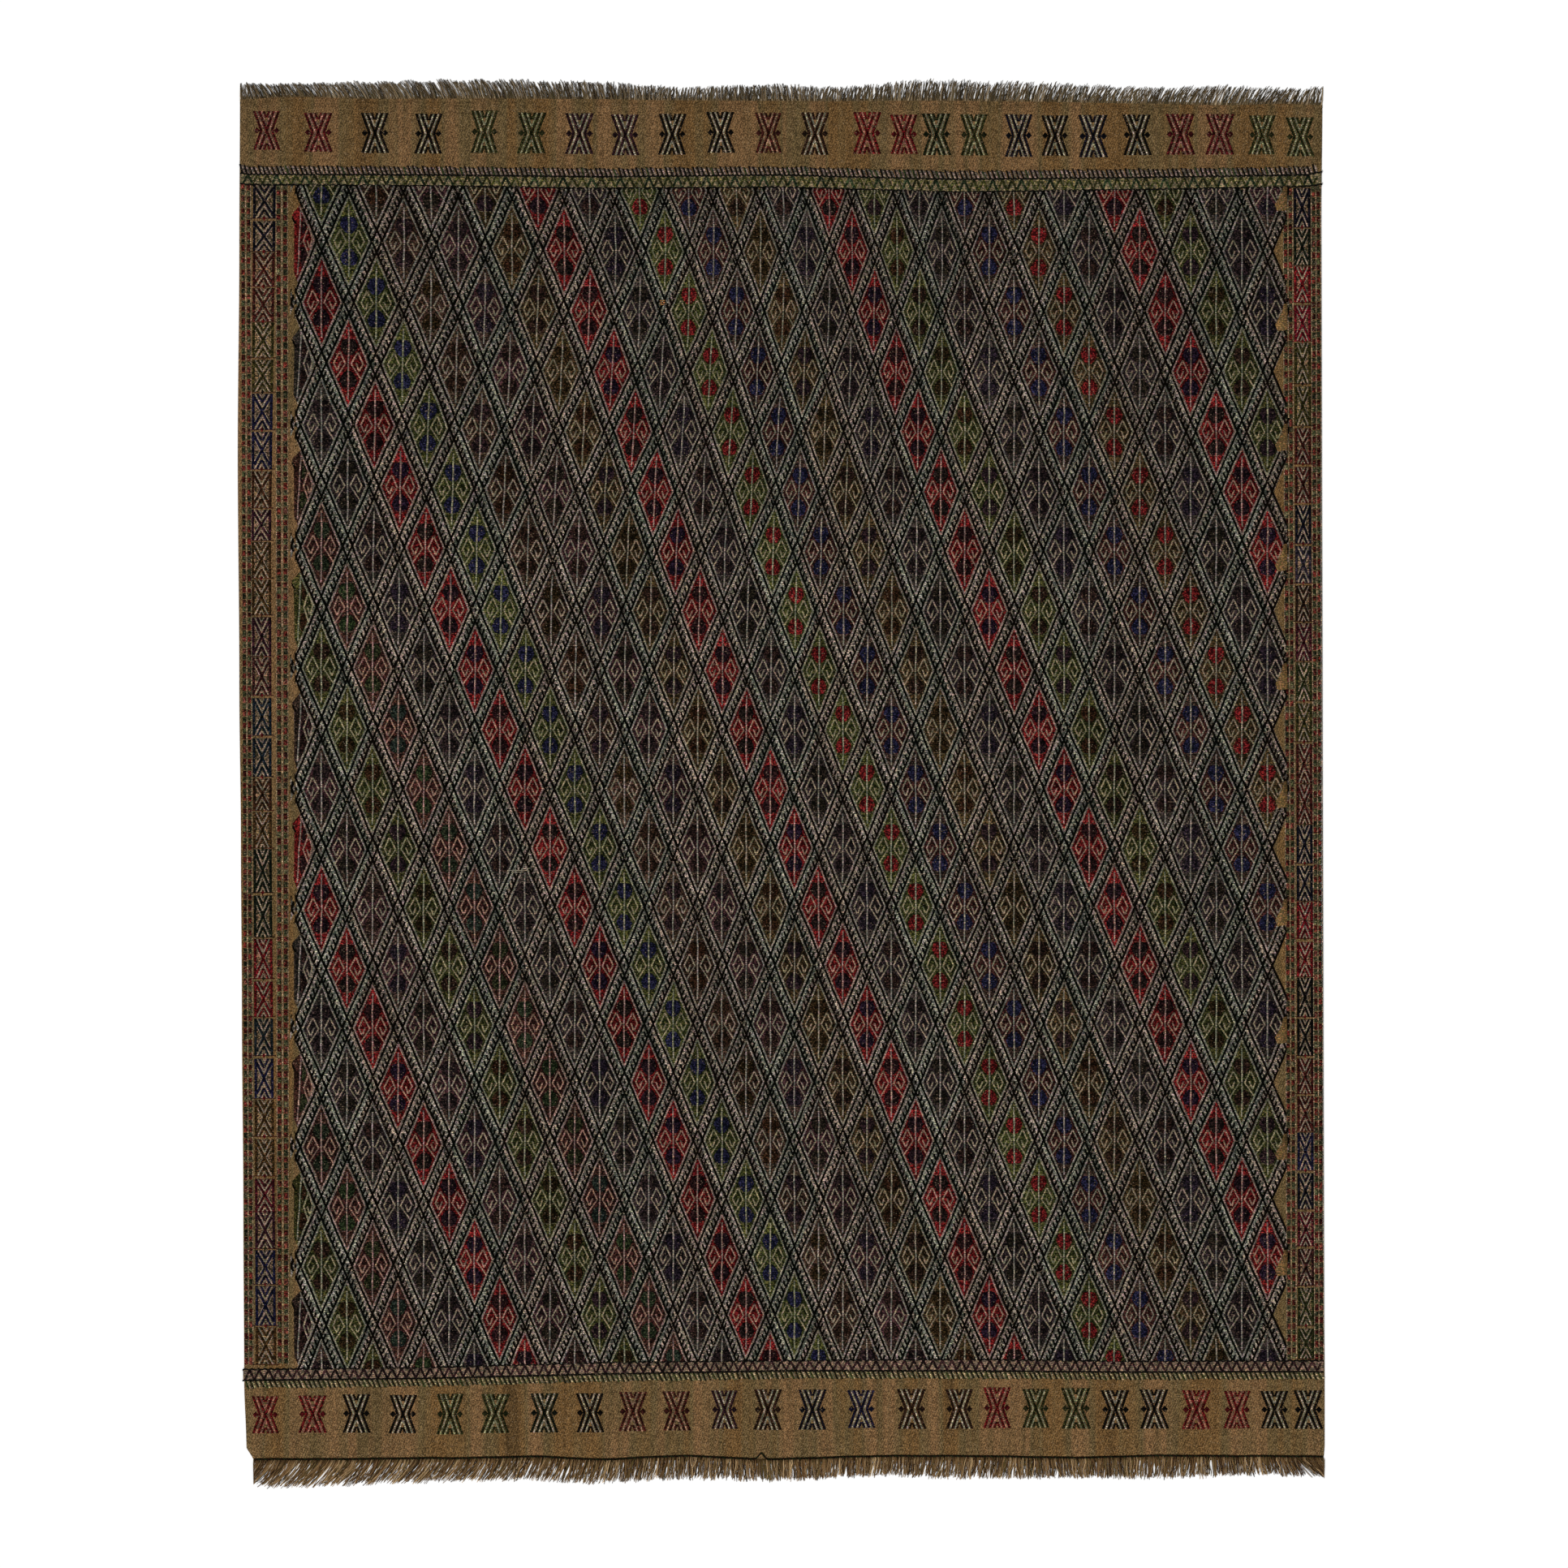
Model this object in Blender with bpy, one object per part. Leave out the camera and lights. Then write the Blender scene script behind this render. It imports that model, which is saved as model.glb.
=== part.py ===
"""A hand-woven kilim rug, laid flat, with its twined end cord and its two warp fringes.

Units are metres, +Z is up, and the rug lies on the plane z = 0. The origin is on that plane under the middle
of the rug. X runs across the rug, from selvedge to selvedge, and Y along its warp, towards the end that has no
cord. The cloth is a flat sheet that is thicker where the brocade covers it. Each fringe is a narrow strip of
warp ends, parted from the cloth, with the loose locks fused into it.
"""

import math
from collections import namedtuple

import bmesh
import bpy
from mathutils import Vector

# Driving dimensions
BROCADE_THICKNESS = 0.0028
PLAIN_THICKNESS = 0.0018
EDGE_THICKNESS = 0.0011
EDGE_ROLL = 0.003  # how far in from its edge the cloth reaches its full thickness
TOP_BAND = 0.104  # the plain end band at the top end, with its motifs
BOTTOM_BAND = 0.110
BAND_RAMP = 0.006  # over which the cloth thickens from plain weave to brocade
RIPPLE_HEIGHT = 0.00018
RIPPLE_LENGTHS = (0.31, 0.47)  # across and along the rug

GAP = 0.0003
TOP_BACKING_DEPTH = 0.008
BOTTOM_BACKING_DEPTH = 0.005
BACKING_THICKNESS = 0.0018
CORD_RADIUS = 0.0017
CORD_SIDES = 6

LOCKS_PER_END = 130
LOCK_WIDTH_SHARE = 0.62  # of the room that a lock has along its backing
LOCK_TIP_SHARE = 0.45  # of the lock's width at its root
LOCK_TIP_THICKNESS = 0.0011
LOCK_STEPS = 3
LOCK_BEND = 1.3  # how much more a lock leans towards its tip
LOCK_STRAY_DEG = 3.0
LOCK_STRAY_LENGTH = 0.10

CLOTH_COLUMNS = 84
FIELD_ROWS = 12
PLACE_ROUNDS = 4

# Where the selvedges lie at places along the rug: they draw in and out by a few millimetres.
Selvedges = namedtuple("Selvedges", "y left right")
SELVEDGES = (
    Selvedges(-1.0620, -0.8290, 0.8520),
    Selvedges(-1.0400, -0.8400, 0.8535),
    Selvedges(-0.9350, -0.8434, 0.8535),
    Selvedges(-0.6800, -0.8447, 0.8505),
    Selvedges(-0.3500, -0.8470, 0.8498),
    Selvedges(-0.1000, -0.8485, 0.8460),
    Selvedges(0.1600, -0.8510, 0.8472),
    Selvedges(0.5200, -0.8535, 0.8475),
    Selvedges(0.8500, -0.8510, 0.8480),
    Selvedges(1.0850, -0.8500, 0.8500),
)

# Each end of the cloth at places across it, with the locks' reach past that end and how far they lean to +X.
End = namedtuple("End", "x cloth_end reach lean_deg")
TOP_END = (
    End(-0.850, 1.0790, 0.0205, -20.0),
    End(-0.770, 1.0830, 0.0165, -32.0),
    End(-0.640, 1.0800, 0.0215, -30.0),
    End(-0.460, 1.0805, 0.0235, -24.0),
    End(-0.310, 1.0795, 0.0230, -15.0),
    End(-0.160, 1.0775, 0.0160, 6.0),
    End(0.010, 1.0765, 0.0205, -6.0),
    End(0.080, 1.0760, 0.0175, 10.0),
    End(0.230, 1.0770, 0.0265, 8.0),
    End(0.390, 1.0755, 0.0245, 18.0),
    End(0.560, 1.0725, 0.0200, 27.0),
    End(0.700, 1.0700, 0.0250, 26.0),
    End(0.790, 1.0720, 0.0190, 32.0),
    End(0.850, 1.0700, 0.0225, 14.0),
)
BOTTOM_END = (
    End(-0.830, -1.0600, 0.0330, -34.0),
    End(-0.760, -1.0600, 0.0410, -38.0),
    End(-0.540, -1.0585, 0.0345, -34.0),
    End(-0.385, -1.0560, 0.0335, -24.0),
    End(-0.290, -1.0600, 0.0345, -16.0),
    End(-0.150, -1.0550, 0.0330, -8.0),
    End(-0.020, -1.0600, 0.0310, 3.0),
    End(0.160, -1.0550, 0.0295, -7.0),
    End(0.300, -1.0550, 0.0320, -10.0),
    End(0.450, -1.0575, 0.0290, 6.0),
    End(0.600, -1.0545, 0.0330, -5.0),
    End(0.740, -1.0550, 0.0280, 8.0),
    End(0.815, -1.0555, 0.0290, 24.0),
    End(0.850, -1.0560, 0.0300, 12.0),
)


def eased(rows, at, column):
    """The value of a table's column at a place along its first column, eased from row to row."""
    for before, after in zip(rows, rows[1:]):
        if at <= after[0]:
            share = min(max((at - before[0]) / (after[0] - before[0]), 0.0), 1.0)
            share *= share * (3.0 - 2.0 * share)
            low, high = getattr(before, column), getattr(after, column)
            return low + (high - low) * share
    return getattr(rows[-1], column)


def stray(number, seed):
    """A value from -1 to 1 that looks random and is the same each time."""
    wave = math.sin(number * 12.9898 + seed * 78.233) * 43758.5453
    return 2.0 * (wave - math.floor(wave)) - 1.0


def clear_scene():
    for thing in list(bpy.data.objects):
        bpy.data.objects.remove(thing, do_unlink=True)


def yarn_material(name, colour, roughness):
    material = bpy.data.materials.new(name)
    material.use_nodes = True
    shader = material.node_tree.nodes["Principled BSDF"]
    shader.inputs["Base Color"].default_value = (*colour, 1.0)
    shader.inputs["Roughness"].default_value = roughness
    shader.inputs["Metallic"].default_value = 0.0
    return material


def object_from(name, shape, material):
    mesh = bpy.data.meshes.new(name)
    bmesh.ops.recalc_face_normals(shape, faces=shape.faces)
    shape.to_mesh(mesh)
    shape.free()
    mesh.materials.append(material)
    mesh.shade_smooth()
    mesh.set_sharp_from_angle(angle=math.radians(40.0))
    made = bpy.data.objects.new(name, mesh)
    bpy.context.scene.collection.objects.link(made)
    return made


def cloth_top_y(x):
    """Where the cloth's own sheet ends at the top, inside the strip that carries the fringe."""
    return eased(TOP_END, x, "cloth_end") - TOP_BACKING_DEPTH - GAP


def cord_y(x):
    """The middle of the twined cord, which the bottom end's table follows."""
    return eased(BOTTOM_END, x, "cloth_end")


def cloth_bottom_y(x):
    return cord_y(x) + CORD_RADIUS + GAP


def selvedge_x(side, y):
    """The x of the left selvedge for side -1, and of the right one for side 1."""
    return eased(SELVEDGES, y, "left" if side < 0 else "right")


def across_places():
    """Columns of the cloth as shares of its width, with a narrow one at each selvedge for the rolled edge."""
    roll = EDGE_ROLL / (selvedge_x(1, 0.0) - selvedge_x(-1, 0.0))
    inner = CLOTH_COLUMNS - 2
    return [0.0] + [roll + (1.0 - 2.0 * roll) * i / inner for i in range(inner + 1)] + [1.0]


def along_places():
    """Rows of the cloth as shares of its length: rolled ends, plain bands, ramps, and the brocaded field."""
    length = cloth_top_y(0.0) - cloth_bottom_y(0.0)
    field = length - BOTTOM_BAND - TOP_BAND - 2.0 * BAND_RAMP
    steps = (
        [EDGE_ROLL, BOTTOM_BAND - EDGE_ROLL, BAND_RAMP]
        + [field / FIELD_ROWS] * FIELD_ROWS
        + [BAND_RAMP, TOP_BAND - EDGE_ROLL, EDGE_ROLL]
    )
    places = [0.0]
    for step in steps:
        places.append(places[-1] + step / length)
    return places


def cloth_height(x, y, at_edge, in_brocade):
    """The height of the cloth's upper face: thin at its edge, thick in the brocade, and a little uneven."""
    if at_edge:
        return EDGE_THICKNESS
    wave = math.sin(2.0 * math.pi * x / RIPPLE_LENGTHS[0] + 2.0 * y)
    wave += math.sin(2.0 * math.pi * y / RIPPLE_LENGTHS[1] - 1.5 * x)
    thickness = BROCADE_THICKNESS if in_brocade else PLAIN_THICKNESS
    return thickness + 0.5 * RIPPLE_HEIGHT * wave


def cloth_place(across, along):
    """The x and y of a place given as shares of the cloth's width and length.

    The ends depend on x and the selvedges on y, so each is worked out from the other until they agree.
    """
    y = cloth_bottom_y(0.0) if along < 0.5 else cloth_top_y(0.0)
    for _ in range(PLACE_ROUNDS):
        x = selvedge_x(-1, y) + (selvedge_x(1, y) - selvedge_x(-1, y)) * across
        y = cloth_bottom_y(x) + (cloth_top_y(x) - cloth_bottom_y(x)) * along
    return x, y


def make_cloth(material):
    """A grid for the upper face, drawn to the rug's outline, and closed by a flat underside."""
    columns, rows = across_places(), along_places()
    shape = bmesh.new()
    bmesh.ops.create_grid(shape, x_segments=len(columns) - 1, y_segments=len(rows) - 1, size=1.0)
    for point in shape.verts:
        column = round((point.co.x + 1.0) / 2.0 * (len(columns) - 1))
        row = round((point.co.y + 1.0) / 2.0 * (len(rows) - 1))
        x, y = cloth_place(columns[column], rows[row])
        at_edge = column in (0, len(columns) - 1) or row in (0, len(rows) - 1)
        in_brocade = 2 < row < len(rows) - 3
        point.co = Vector((x, y, cloth_height(x, y, at_edge, in_brocade)))
    grown = bmesh.ops.extrude_face_region(shape, geom=shape.faces[:])["geom"]
    under = [item for item in grown if isinstance(item, bmesh.types.BMFace)]
    for point in {point for face in under for point in face.verts}:
        point.co.z = 0.0
    bmesh.ops.dissolve_faces(shape, faces=under)
    return object_from("kilim_cloth", shape, material)


def make_end_cord(material):
    """The twined cord across the bottom end, which holds the last weft, as one plain round length."""
    left = selvedge_x(-1, SELVEDGES[0].y) + CORD_RADIUS
    right = selvedge_x(1, SELVEDGES[0].y) - CORD_RADIUS
    route = bpy.data.curves.new("end_twining", "CURVE")
    route.dimensions = "3D"
    route.bevel_depth = CORD_RADIUS
    route.bevel_resolution = CORD_SIDES // 2 - 2
    route.use_fill_caps = True
    line = route.splines.new("POLY")
    line.points.add(CLOTH_COLUMNS)
    for index, point in enumerate(line.points):
        x = left + (right - left) * index / CLOTH_COLUMNS
        point.co = (x, cord_y(x), 0.0, 1.0)
    route.materials.append(material)
    made = bpy.data.objects.new("end_twining", route)
    made.location.z = CORD_RADIUS * math.cos(math.pi / CORD_SIDES)
    bpy.context.scene.collection.objects.link(made)
    return made


def make_fringe(name, end, outward, inner_offset, depth, material):
    """A strip of warp ends beside the cloth, and the locks drawn out of its outer face, lying on the floor.

    outward is 1 at the top end and -1 at the bottom one. The strip starts inner_offset from the line that the
    end's table gives, and is depth wide.
    """
    cells = 2 * LOCKS_PER_END + 1
    left, right = selvedge_x(-1, end[0].cloth_end), selvedge_x(1, end[0].cloth_end)
    shape = bmesh.new()
    shape.faces.layers.int.new("lock_number")
    bmesh.ops.create_grid(shape, x_segments=cells, y_segments=1, size=1.0)
    room = (right - left) / LOCKS_PER_END
    lock_width = room * LOCK_WIDTH_SHARE

    def cell_edge(index):
        """The x of a cell's edge: the odd cells carry locks, and the even ones are the gaps between them."""
        pair, second = divmod(index, 2)
        if index == 0:
            return left
        if index == cells:
            return right
        middle = left + room * (pair + (0.5 if second else -0.5))
        return middle - lock_width / 2.0 if second else middle + lock_width / 2.0

    for point in shape.verts:
        x = cell_edge(round((point.co.x + 1.0) / 2.0 * cells))
        on_outer_side = (point.co.y > 0.0) == (outward > 0)
        away = inner_offset + (depth if on_outer_side else 0.0)
        point.co = Vector((x, eased(end, x, "cloth_end") + outward * away, BACKING_THICKNESS))
    grown = bmesh.ops.extrude_face_region(shape, geom=shape.faces[:])["geom"]
    for item in grown:
        if isinstance(item, bmesh.types.BMVert):
            item.co.z = 0.0
    bmesh.ops.recalc_face_normals(shape, faces=shape.faces)
    outer_faces = sorted(
        (face for face in shape.faces if face.normal.y * outward > 0.7),
        key=lambda face: face.calc_center_median().x,
    )
    draw_out_locks(shape, outer_faces[1::2], end, outward, inner_offset + depth)
    return object_from(name, shape, material)


def draw_out_locks(shape, roots, end, outward, root_offset):
    """Extrudes each root face in steps into a lock that bends to its lean and thins to its tip."""
    lock_number = shape.faces.layers.int["lock_number"]
    plans = []
    for number, root in enumerate(roots):
        root[lock_number] = number
        middle = root.calc_center_median()
        lean = eased(end, middle.x, "lean_deg") + LOCK_STRAY_DEG * stray(number, outward)
        reach = (eased(end, middle.x, "reach") - root_offset) * (1.0 + LOCK_STRAY_LENGTH * stray(number, 3))
        half_width = max(abs(point.co.x - middle.x) for point in root.verts)
        plans.append((Vector((middle.x, middle.y, 0.0)), math.radians(lean), reach, half_width))
    faces = roots
    for step in range(1, LOCK_STEPS + 1):
        share = step / LOCK_STEPS
        height = BACKING_THICKNESS + (LOCK_TIP_THICKNESS - BACKING_THICKNESS) * share
        faces = bmesh.ops.extrude_discrete_faces(shape, faces=faces)["faces"]
        for face in faces:
            root, lean, reach, half_width = plans[face[lock_number]]
            middle_x = face.calc_center_median().x
            centre = root + Vector((reach * math.tan(lean) * share**LOCK_BEND, outward * reach * share, 0.0))
            width = half_width * (1.0 + (LOCK_TIP_SHARE - 1.0) * share)
            across = Vector((math.cos(lean * share), -outward * math.sin(lean * share), 0.0))
            for point in face.verts:
                on_top = point.co.z > 0.0
                point.co = centre + across * (width if point.co.x > middle_x else -width)
                point.co.z = height if on_top else 0.0


def main():
    clear_scene()
    cloth = yarn_material("brocaded_wool", (0.055, 0.047, 0.033), 0.9)
    warp = yarn_material("warp_yarn", (0.165, 0.112, 0.058), 0.9)
    twining = yarn_material("twining_yarn", (0.012, 0.018, 0.010), 0.85)
    make_cloth(cloth)
    make_end_cord(twining)
    make_fringe("warp_fringe_top", TOP_END, 1, -TOP_BACKING_DEPTH, TOP_BACKING_DEPTH, warp)
    make_fringe("warp_fringe_bottom", BOTTOM_END, -1, CORD_RADIUS + GAP, BOTTOM_BACKING_DEPTH, warp)


main()
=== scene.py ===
"""The looks of the kilim rug: its tan plain weave, the brocaded lattice of hooked diamonds, the borders and
end bands worked over it, the twined end cord and the two warp fringes, on a pale floor seen from above.

Every yarn of the pattern is a low closed slab that stands on the cloth. Slabs are drawn flat, as short lists
of corners, raised by bmesh operators, joined many at a time, and then laid on the cloth's own slightly
uneven rows.
"""

import math
from collections import namedtuple

import bmesh
import bpy
import numpy as np
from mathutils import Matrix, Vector


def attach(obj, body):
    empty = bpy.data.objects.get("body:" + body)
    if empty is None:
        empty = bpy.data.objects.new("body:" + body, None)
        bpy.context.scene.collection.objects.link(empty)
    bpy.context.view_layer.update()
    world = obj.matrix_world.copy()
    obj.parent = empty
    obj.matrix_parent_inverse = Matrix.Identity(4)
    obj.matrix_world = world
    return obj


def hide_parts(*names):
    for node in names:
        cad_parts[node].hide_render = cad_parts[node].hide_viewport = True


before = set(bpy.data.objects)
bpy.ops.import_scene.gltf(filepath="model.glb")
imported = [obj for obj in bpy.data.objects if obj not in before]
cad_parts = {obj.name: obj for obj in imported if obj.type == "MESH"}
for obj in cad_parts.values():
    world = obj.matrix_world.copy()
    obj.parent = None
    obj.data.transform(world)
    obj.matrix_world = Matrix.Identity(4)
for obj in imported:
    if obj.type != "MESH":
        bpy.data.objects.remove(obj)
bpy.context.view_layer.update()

MM = 0.001

# ------------------------------------------------------------------------------------------------------------
# The rug's outline, as in the model's own source
# ------------------------------------------------------------------------------------------------------------
PLAIN_THICKNESS = 0.0018
FIELD_GROUND_THICKNESS = 0.0020  # of the ground under the brocade
EDGE_THICKNESS = 0.0011
EDGE_ROLL = 0.003
TOP_BAND = 0.104
BOTTOM_BAND = 0.110
BAND_RAMP = 0.006
RIPPLE_HEIGHT = 0.00018
RIPPLE_LENGTHS = (0.31, 0.47)
GAP = 0.0003
TOP_BACKING_DEPTH = 0.008
BOTTOM_BACKING_DEPTH = 0.005
CORD_RADIUS = 0.0017
CORD_BITE = 0.0005  # how far the twined cord presses into the cloth's last row
PLACE_ROUNDS = 4

# The left and the right selvedge, in metres, at places along the rug.
SELVEDGES = np.array((
    (-1.0620, -0.8290, 0.8520),
    (-1.0400, -0.8400, 0.8535),
    (-0.9350, -0.8434, 0.8535),
    (-0.6800, -0.8447, 0.8505),
    (-0.3500, -0.8470, 0.8498),
    (-0.1000, -0.8485, 0.8460),
    (0.1600, -0.8510, 0.8472),
    (0.5200, -0.8535, 0.8475),
    (0.8500, -0.8510, 0.8480),
    (1.0850, -0.8500, 0.8500),
))

# Each end at places across it: where the cloth ends, how far the fringe reaches past it, and its lean to +X.
TOP_END = np.array((
    (-0.850, 1.0790, 0.0205, -20.0),
    (-0.770, 1.0830, 0.0165, -32.0),
    (-0.640, 1.0800, 0.0215, -30.0),
    (-0.460, 1.0805, 0.0235, -24.0),
    (-0.310, 1.0795, 0.0230, -15.0),
    (-0.160, 1.0775, 0.0160, 6.0),
    (0.010, 1.0765, 0.0205, -6.0),
    (0.080, 1.0760, 0.0175, 10.0),
    (0.230, 1.0770, 0.0265, 8.0),
    (0.390, 1.0755, 0.0245, 18.0),
    (0.560, 1.0725, 0.0200, 27.0),
    (0.700, 1.0700, 0.0250, 26.0),
    (0.790, 1.0720, 0.0190, 32.0),
    (0.850, 1.0700, 0.0225, 14.0),
))
BOTTOM_END = np.array((
    (-0.830, -1.0600, 0.0330, -34.0),
    (-0.760, -1.0600, 0.0410, -38.0),
    (-0.540, -1.0585, 0.0345, -34.0),
    (-0.385, -1.0560, 0.0335, -24.0),
    (-0.290, -1.0600, 0.0345, -16.0),
    (-0.150, -1.0550, 0.0330, -8.0),
    (-0.020, -1.0600, 0.0310, 3.0),
    (0.160, -1.0550, 0.0295, -7.0),
    (0.300, -1.0550, 0.0320, -10.0),
    (0.450, -1.0575, 0.0290, 6.0),
    (0.600, -1.0545, 0.0330, -5.0),
    (0.740, -1.0550, 0.0280, 8.0),
    (0.815, -1.0555, 0.0290, 24.0),
    (0.850, -1.0560, 0.0300, 12.0),
))
CLOTH_END, REACH, LEAN = 1, 2, 3

# ------------------------------------------------------------------------------------------------------------
# The brocaded field: one diamond is 64 warps wide and 64 rows tall, and the rows of diamonds interlock
# ------------------------------------------------------------------------------------------------------------
WARP = 0.001217  # the pitch of the warps, and of the brocade rows
ROW = 0.002951
HALF = 32  # half a diamond's pitch, in warps and in rows

# The crossings of the lattice are evenly spaced, but for a little unevenness of the weaving.
# In mm from the middle of the rug.
FIRST_COLUMN_AT, COLUMN_PITCH, LAST_CROSSING = -722.0, 78.2, 19
MIDDLE_ROW_AT, ROW_PITCH, MIDDLE_ROW = 2.0, 92.8, 9
COLUMN_BOW = 7.0  # the left columns are a little wider than the right ones
ROW_BOW = 9.0  # the rows of the middle lie a little low
# The first rows lean to the right, left of the rug's middle.
TOP_LEAN, LEANING_COLUMNS, LEANING_ROWS = 26.0, 13.0, 4.0
LEFT_SPREAD, SPREAD_COLUMNS = 0.02, 3.0  # the rows spread towards the left border
LAST_COLUMN = 19.42
STRIPS = 10  # the field is worked in this many long strips

LINE_AT, LINE_WIDTH, LINE_BLOCKS = 26.2, 2.9, 4
OUTLINE_AT, OUTLINE_WIDTH = 23.3, 1.7
FILL_TO = 22.2
TIP_FROM = 13.0
SPINE_WIDTH, SPINE_TO = 2.0, 18.9
# The curled line in each half of a diamond, from its outline inwards.
CURL = ((15.4, -8.2), (3.4, -0.3), (10.6, 6.2), (17.4, 0.0), (12.9, -3.9), (9.3, 0.4))
CURL_WIDTH = 2.25
HOOKS_PER_EDGE, HOOK_PITCH = 9, 2.94
HOOK = ((-0.2, -0.6), (2.4, -0.6), (3.5, 0.3), (4.4, 1.3), (5.1, 2.65), (2.5, 2.65), (2.0, 1.7), (1.1, 0.75))
EYE = ((1.2, 3.8), (4.4, 4.4), (8.2, 6.4), (10.8, 8.8), (7.8, 12.3), (1.2, 13.0))
# At the left edge a half diamond ends in an arrow's head over a slim upright band, and a light line leans
# along it.
ARROW = ((6.4, 19.2), (-4.8, 13.5), (-0.7, 10.2), (5.2, 10.2))
EDGE_BAND = ((5.2, 10.2), (-2.2, 10.2), (-2.2, -16.6), (1.4, -20.4), (2.6, -17.0))
EDGE_LINE = ((6.6, 15.8), (2.2, -17.8))
EDGE_CURL = ((16.5, -8.0), (9.8, 0.0), (16.3, 8.0), (21.0, 0.8), (17.5, -4.2), (14.6, 0.2))
EDGE_EYES = (
    ((8.4, 12.6), (13.4, 8.2), (11.2, 3.4), (7.4, 4.2)),
    ((6.0, -3.4), (10.4, -3.0), (15.0, -7.4), (7.4, -13.4), (4.8, -11.0)),
)
NOTCH = ((-5.2, 12.9), (-2.4, 11.8), (1.0, 9.0), (-1.4, 8.6), (-4.4, 11.0))
# At the right edge plain cloth cuts into each half diamond below its middle.
CORNER = ((19.6, 3.6), (24.8, 4.2), (24.8, -10.2), (12.6, -10.8), (9.4, -7.2), (18.0, -0.6))
CORNER_COLOURS = ((104, 70, 34), (90, 76, 48), (96, 75, 46))

# Yarns of the field, by number: how high each slab starts and how far it rises, in mm, and how far its
# stitches differ in shade.
Yarn = namedtuple("Yarn", "name start rise layer grain")
YARNS = (
    Yarn("base", 1.90, 0.45, 0, 0.9),
    Yarn("fill", 2.25, 0.25, 1, 1.0),
    Yarn("tips", 2.25, 0.27, 1, 1.0),
    Yarn("eye", 2.35, 0.28, 2, 1.0),
    Yarn("hook", 2.25, 0.42, 2, 0.5),
    Yarn("outline", 2.25, 0.48, 2, 0.45),
    Yarn("spine", 2.35, 0.40, 2, 0.5),
    Yarn("curl", 2.35, 0.33, 2, 0.4),
    Yarn("line", 2.25, 0.60, 2, 0.5),
    Yarn("crossing_line", 2.25, 0.68, 2, 0.5),
    Yarn("dot", 2.25, 0.45, 2, 0.5),
    Yarn("edge", 1.95, 0.70, 2, 0.9),
    Yarn("corner", 1.95, 1.05, 2, 0.45),
)
YARN_NUMBER = {yarn.name: number for number, yarn in enumerate(YARNS)}
RIM = 0.00022  # how far a slab's sides slope in

CURL_TINT = np.array((1.07, 0.97, 0.84))  # the curls are a little yellower than the outlines
# The field's yarns.
PALE, PALE_ROSE, PALE_GREEN, PALE_TAN = (106, 101, 92), (114, 94, 86), (105, 104, 86), (106, 100, 86)
MADDER, BRIGHT_MADDER, CRIMSON_EYE, INK = (60, 13, 13), (72, 16, 16), (66, 16, 16), (24, 14, 15)
NAVY, GREEN, LIGHT_GREEN, BOTTLE = (19, 20, 36), (36, 39, 18), (44, 46, 21), (30, 40, 22)
OLIVE, LIGHT_OLIVE = (33, 35, 16), (45, 45, 21)
TAN, LIGHT_TAN, SEPIA = (36, 28, 16), (45, 36, 20), (33, 22, 9)
UMBER, LIGHT_UMBER, MAROON, LIGHT_MAROON = (35, 25, 19), (42, 33, 25), (37, 20, 17), (44, 27, 21)
PLUM, LIGHT_PLUM = (34, 21, 22), (38, 29, 24)
GREY, LIGHT_GREY, SOOT = (27, 22, 22), (35, 31, 27), (27, 21, 17)
# Each family of diamonds: its light lines, its filling, its eyes and its tips.
Family = namedtuple("Family", "light fill eye tips")
FAMILIES = {
    "red": Family(PALE_ROSE, MADDER, INK, BRIGHT_MADDER),
    "green_navy": Family(PALE_GREEN, GREEN, NAVY, LIGHT_GREEN),
    "green_crimson": Family(PALE_GREEN, GREEN, CRIMSON_EYE, LIGHT_GREEN),
    "tan_crimson": Family(PALE_TAN, TAN, CRIMSON_EYE, LIGHT_TAN),
    "umber": Family(PALE, UMBER, SEPIA, LIGHT_UMBER),
    "plum": Family(PALE, PLUM, SOOT, LIGHT_PLUM),
    "maroon_navy": Family(PALE, MAROON, NAVY, LIGHT_PLUM),
    "maroon_bottle": Family(PALE_ROSE, MAROON, BOTTLE, LIGHT_MAROON),
    "grey": Family(PALE, GREY, SOOT, LIGHT_GREY),
    "tan": Family(PALE_TAN, TAN, SEPIA, LIGHT_TAN),
    "olive": Family(PALE_GREEN, OLIVE, SEPIA, LIGHT_OLIVE),
}
# The families run down the rug in slanting rows, from the left edge's to the right edge's.
SLANTING_ROWS = (
    "plum", "olive", "maroon_bottle", "grey", "red",
    "plum", "olive", "maroon_bottle", "grey", "red",
    "green_navy", "umber", "plum", "tan", "red",
    "grey", "green_crimson", "maroon_navy", "tan", "grey", "red",
    "olive", "grey", "maroon_navy", "tan_crimson", "grey", "red",
    "olive", "grey", "plum",
)
FIRST_SLANTING_ROW = -9.5
BASE_COLOURS = ((95, 90, 81), (90, 91, 81), (98, 90, 80))
LINE_COLOURS = ((6, 4, 2), (4, 5, 3), (8, 5, 3))
# What the darkest yarns lean to, diamond by diamond.
EYE_DRIFTS = ((14, 9, 15), (23, 10, 9), (12, 14, 8), (13, 11, 28))

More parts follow.
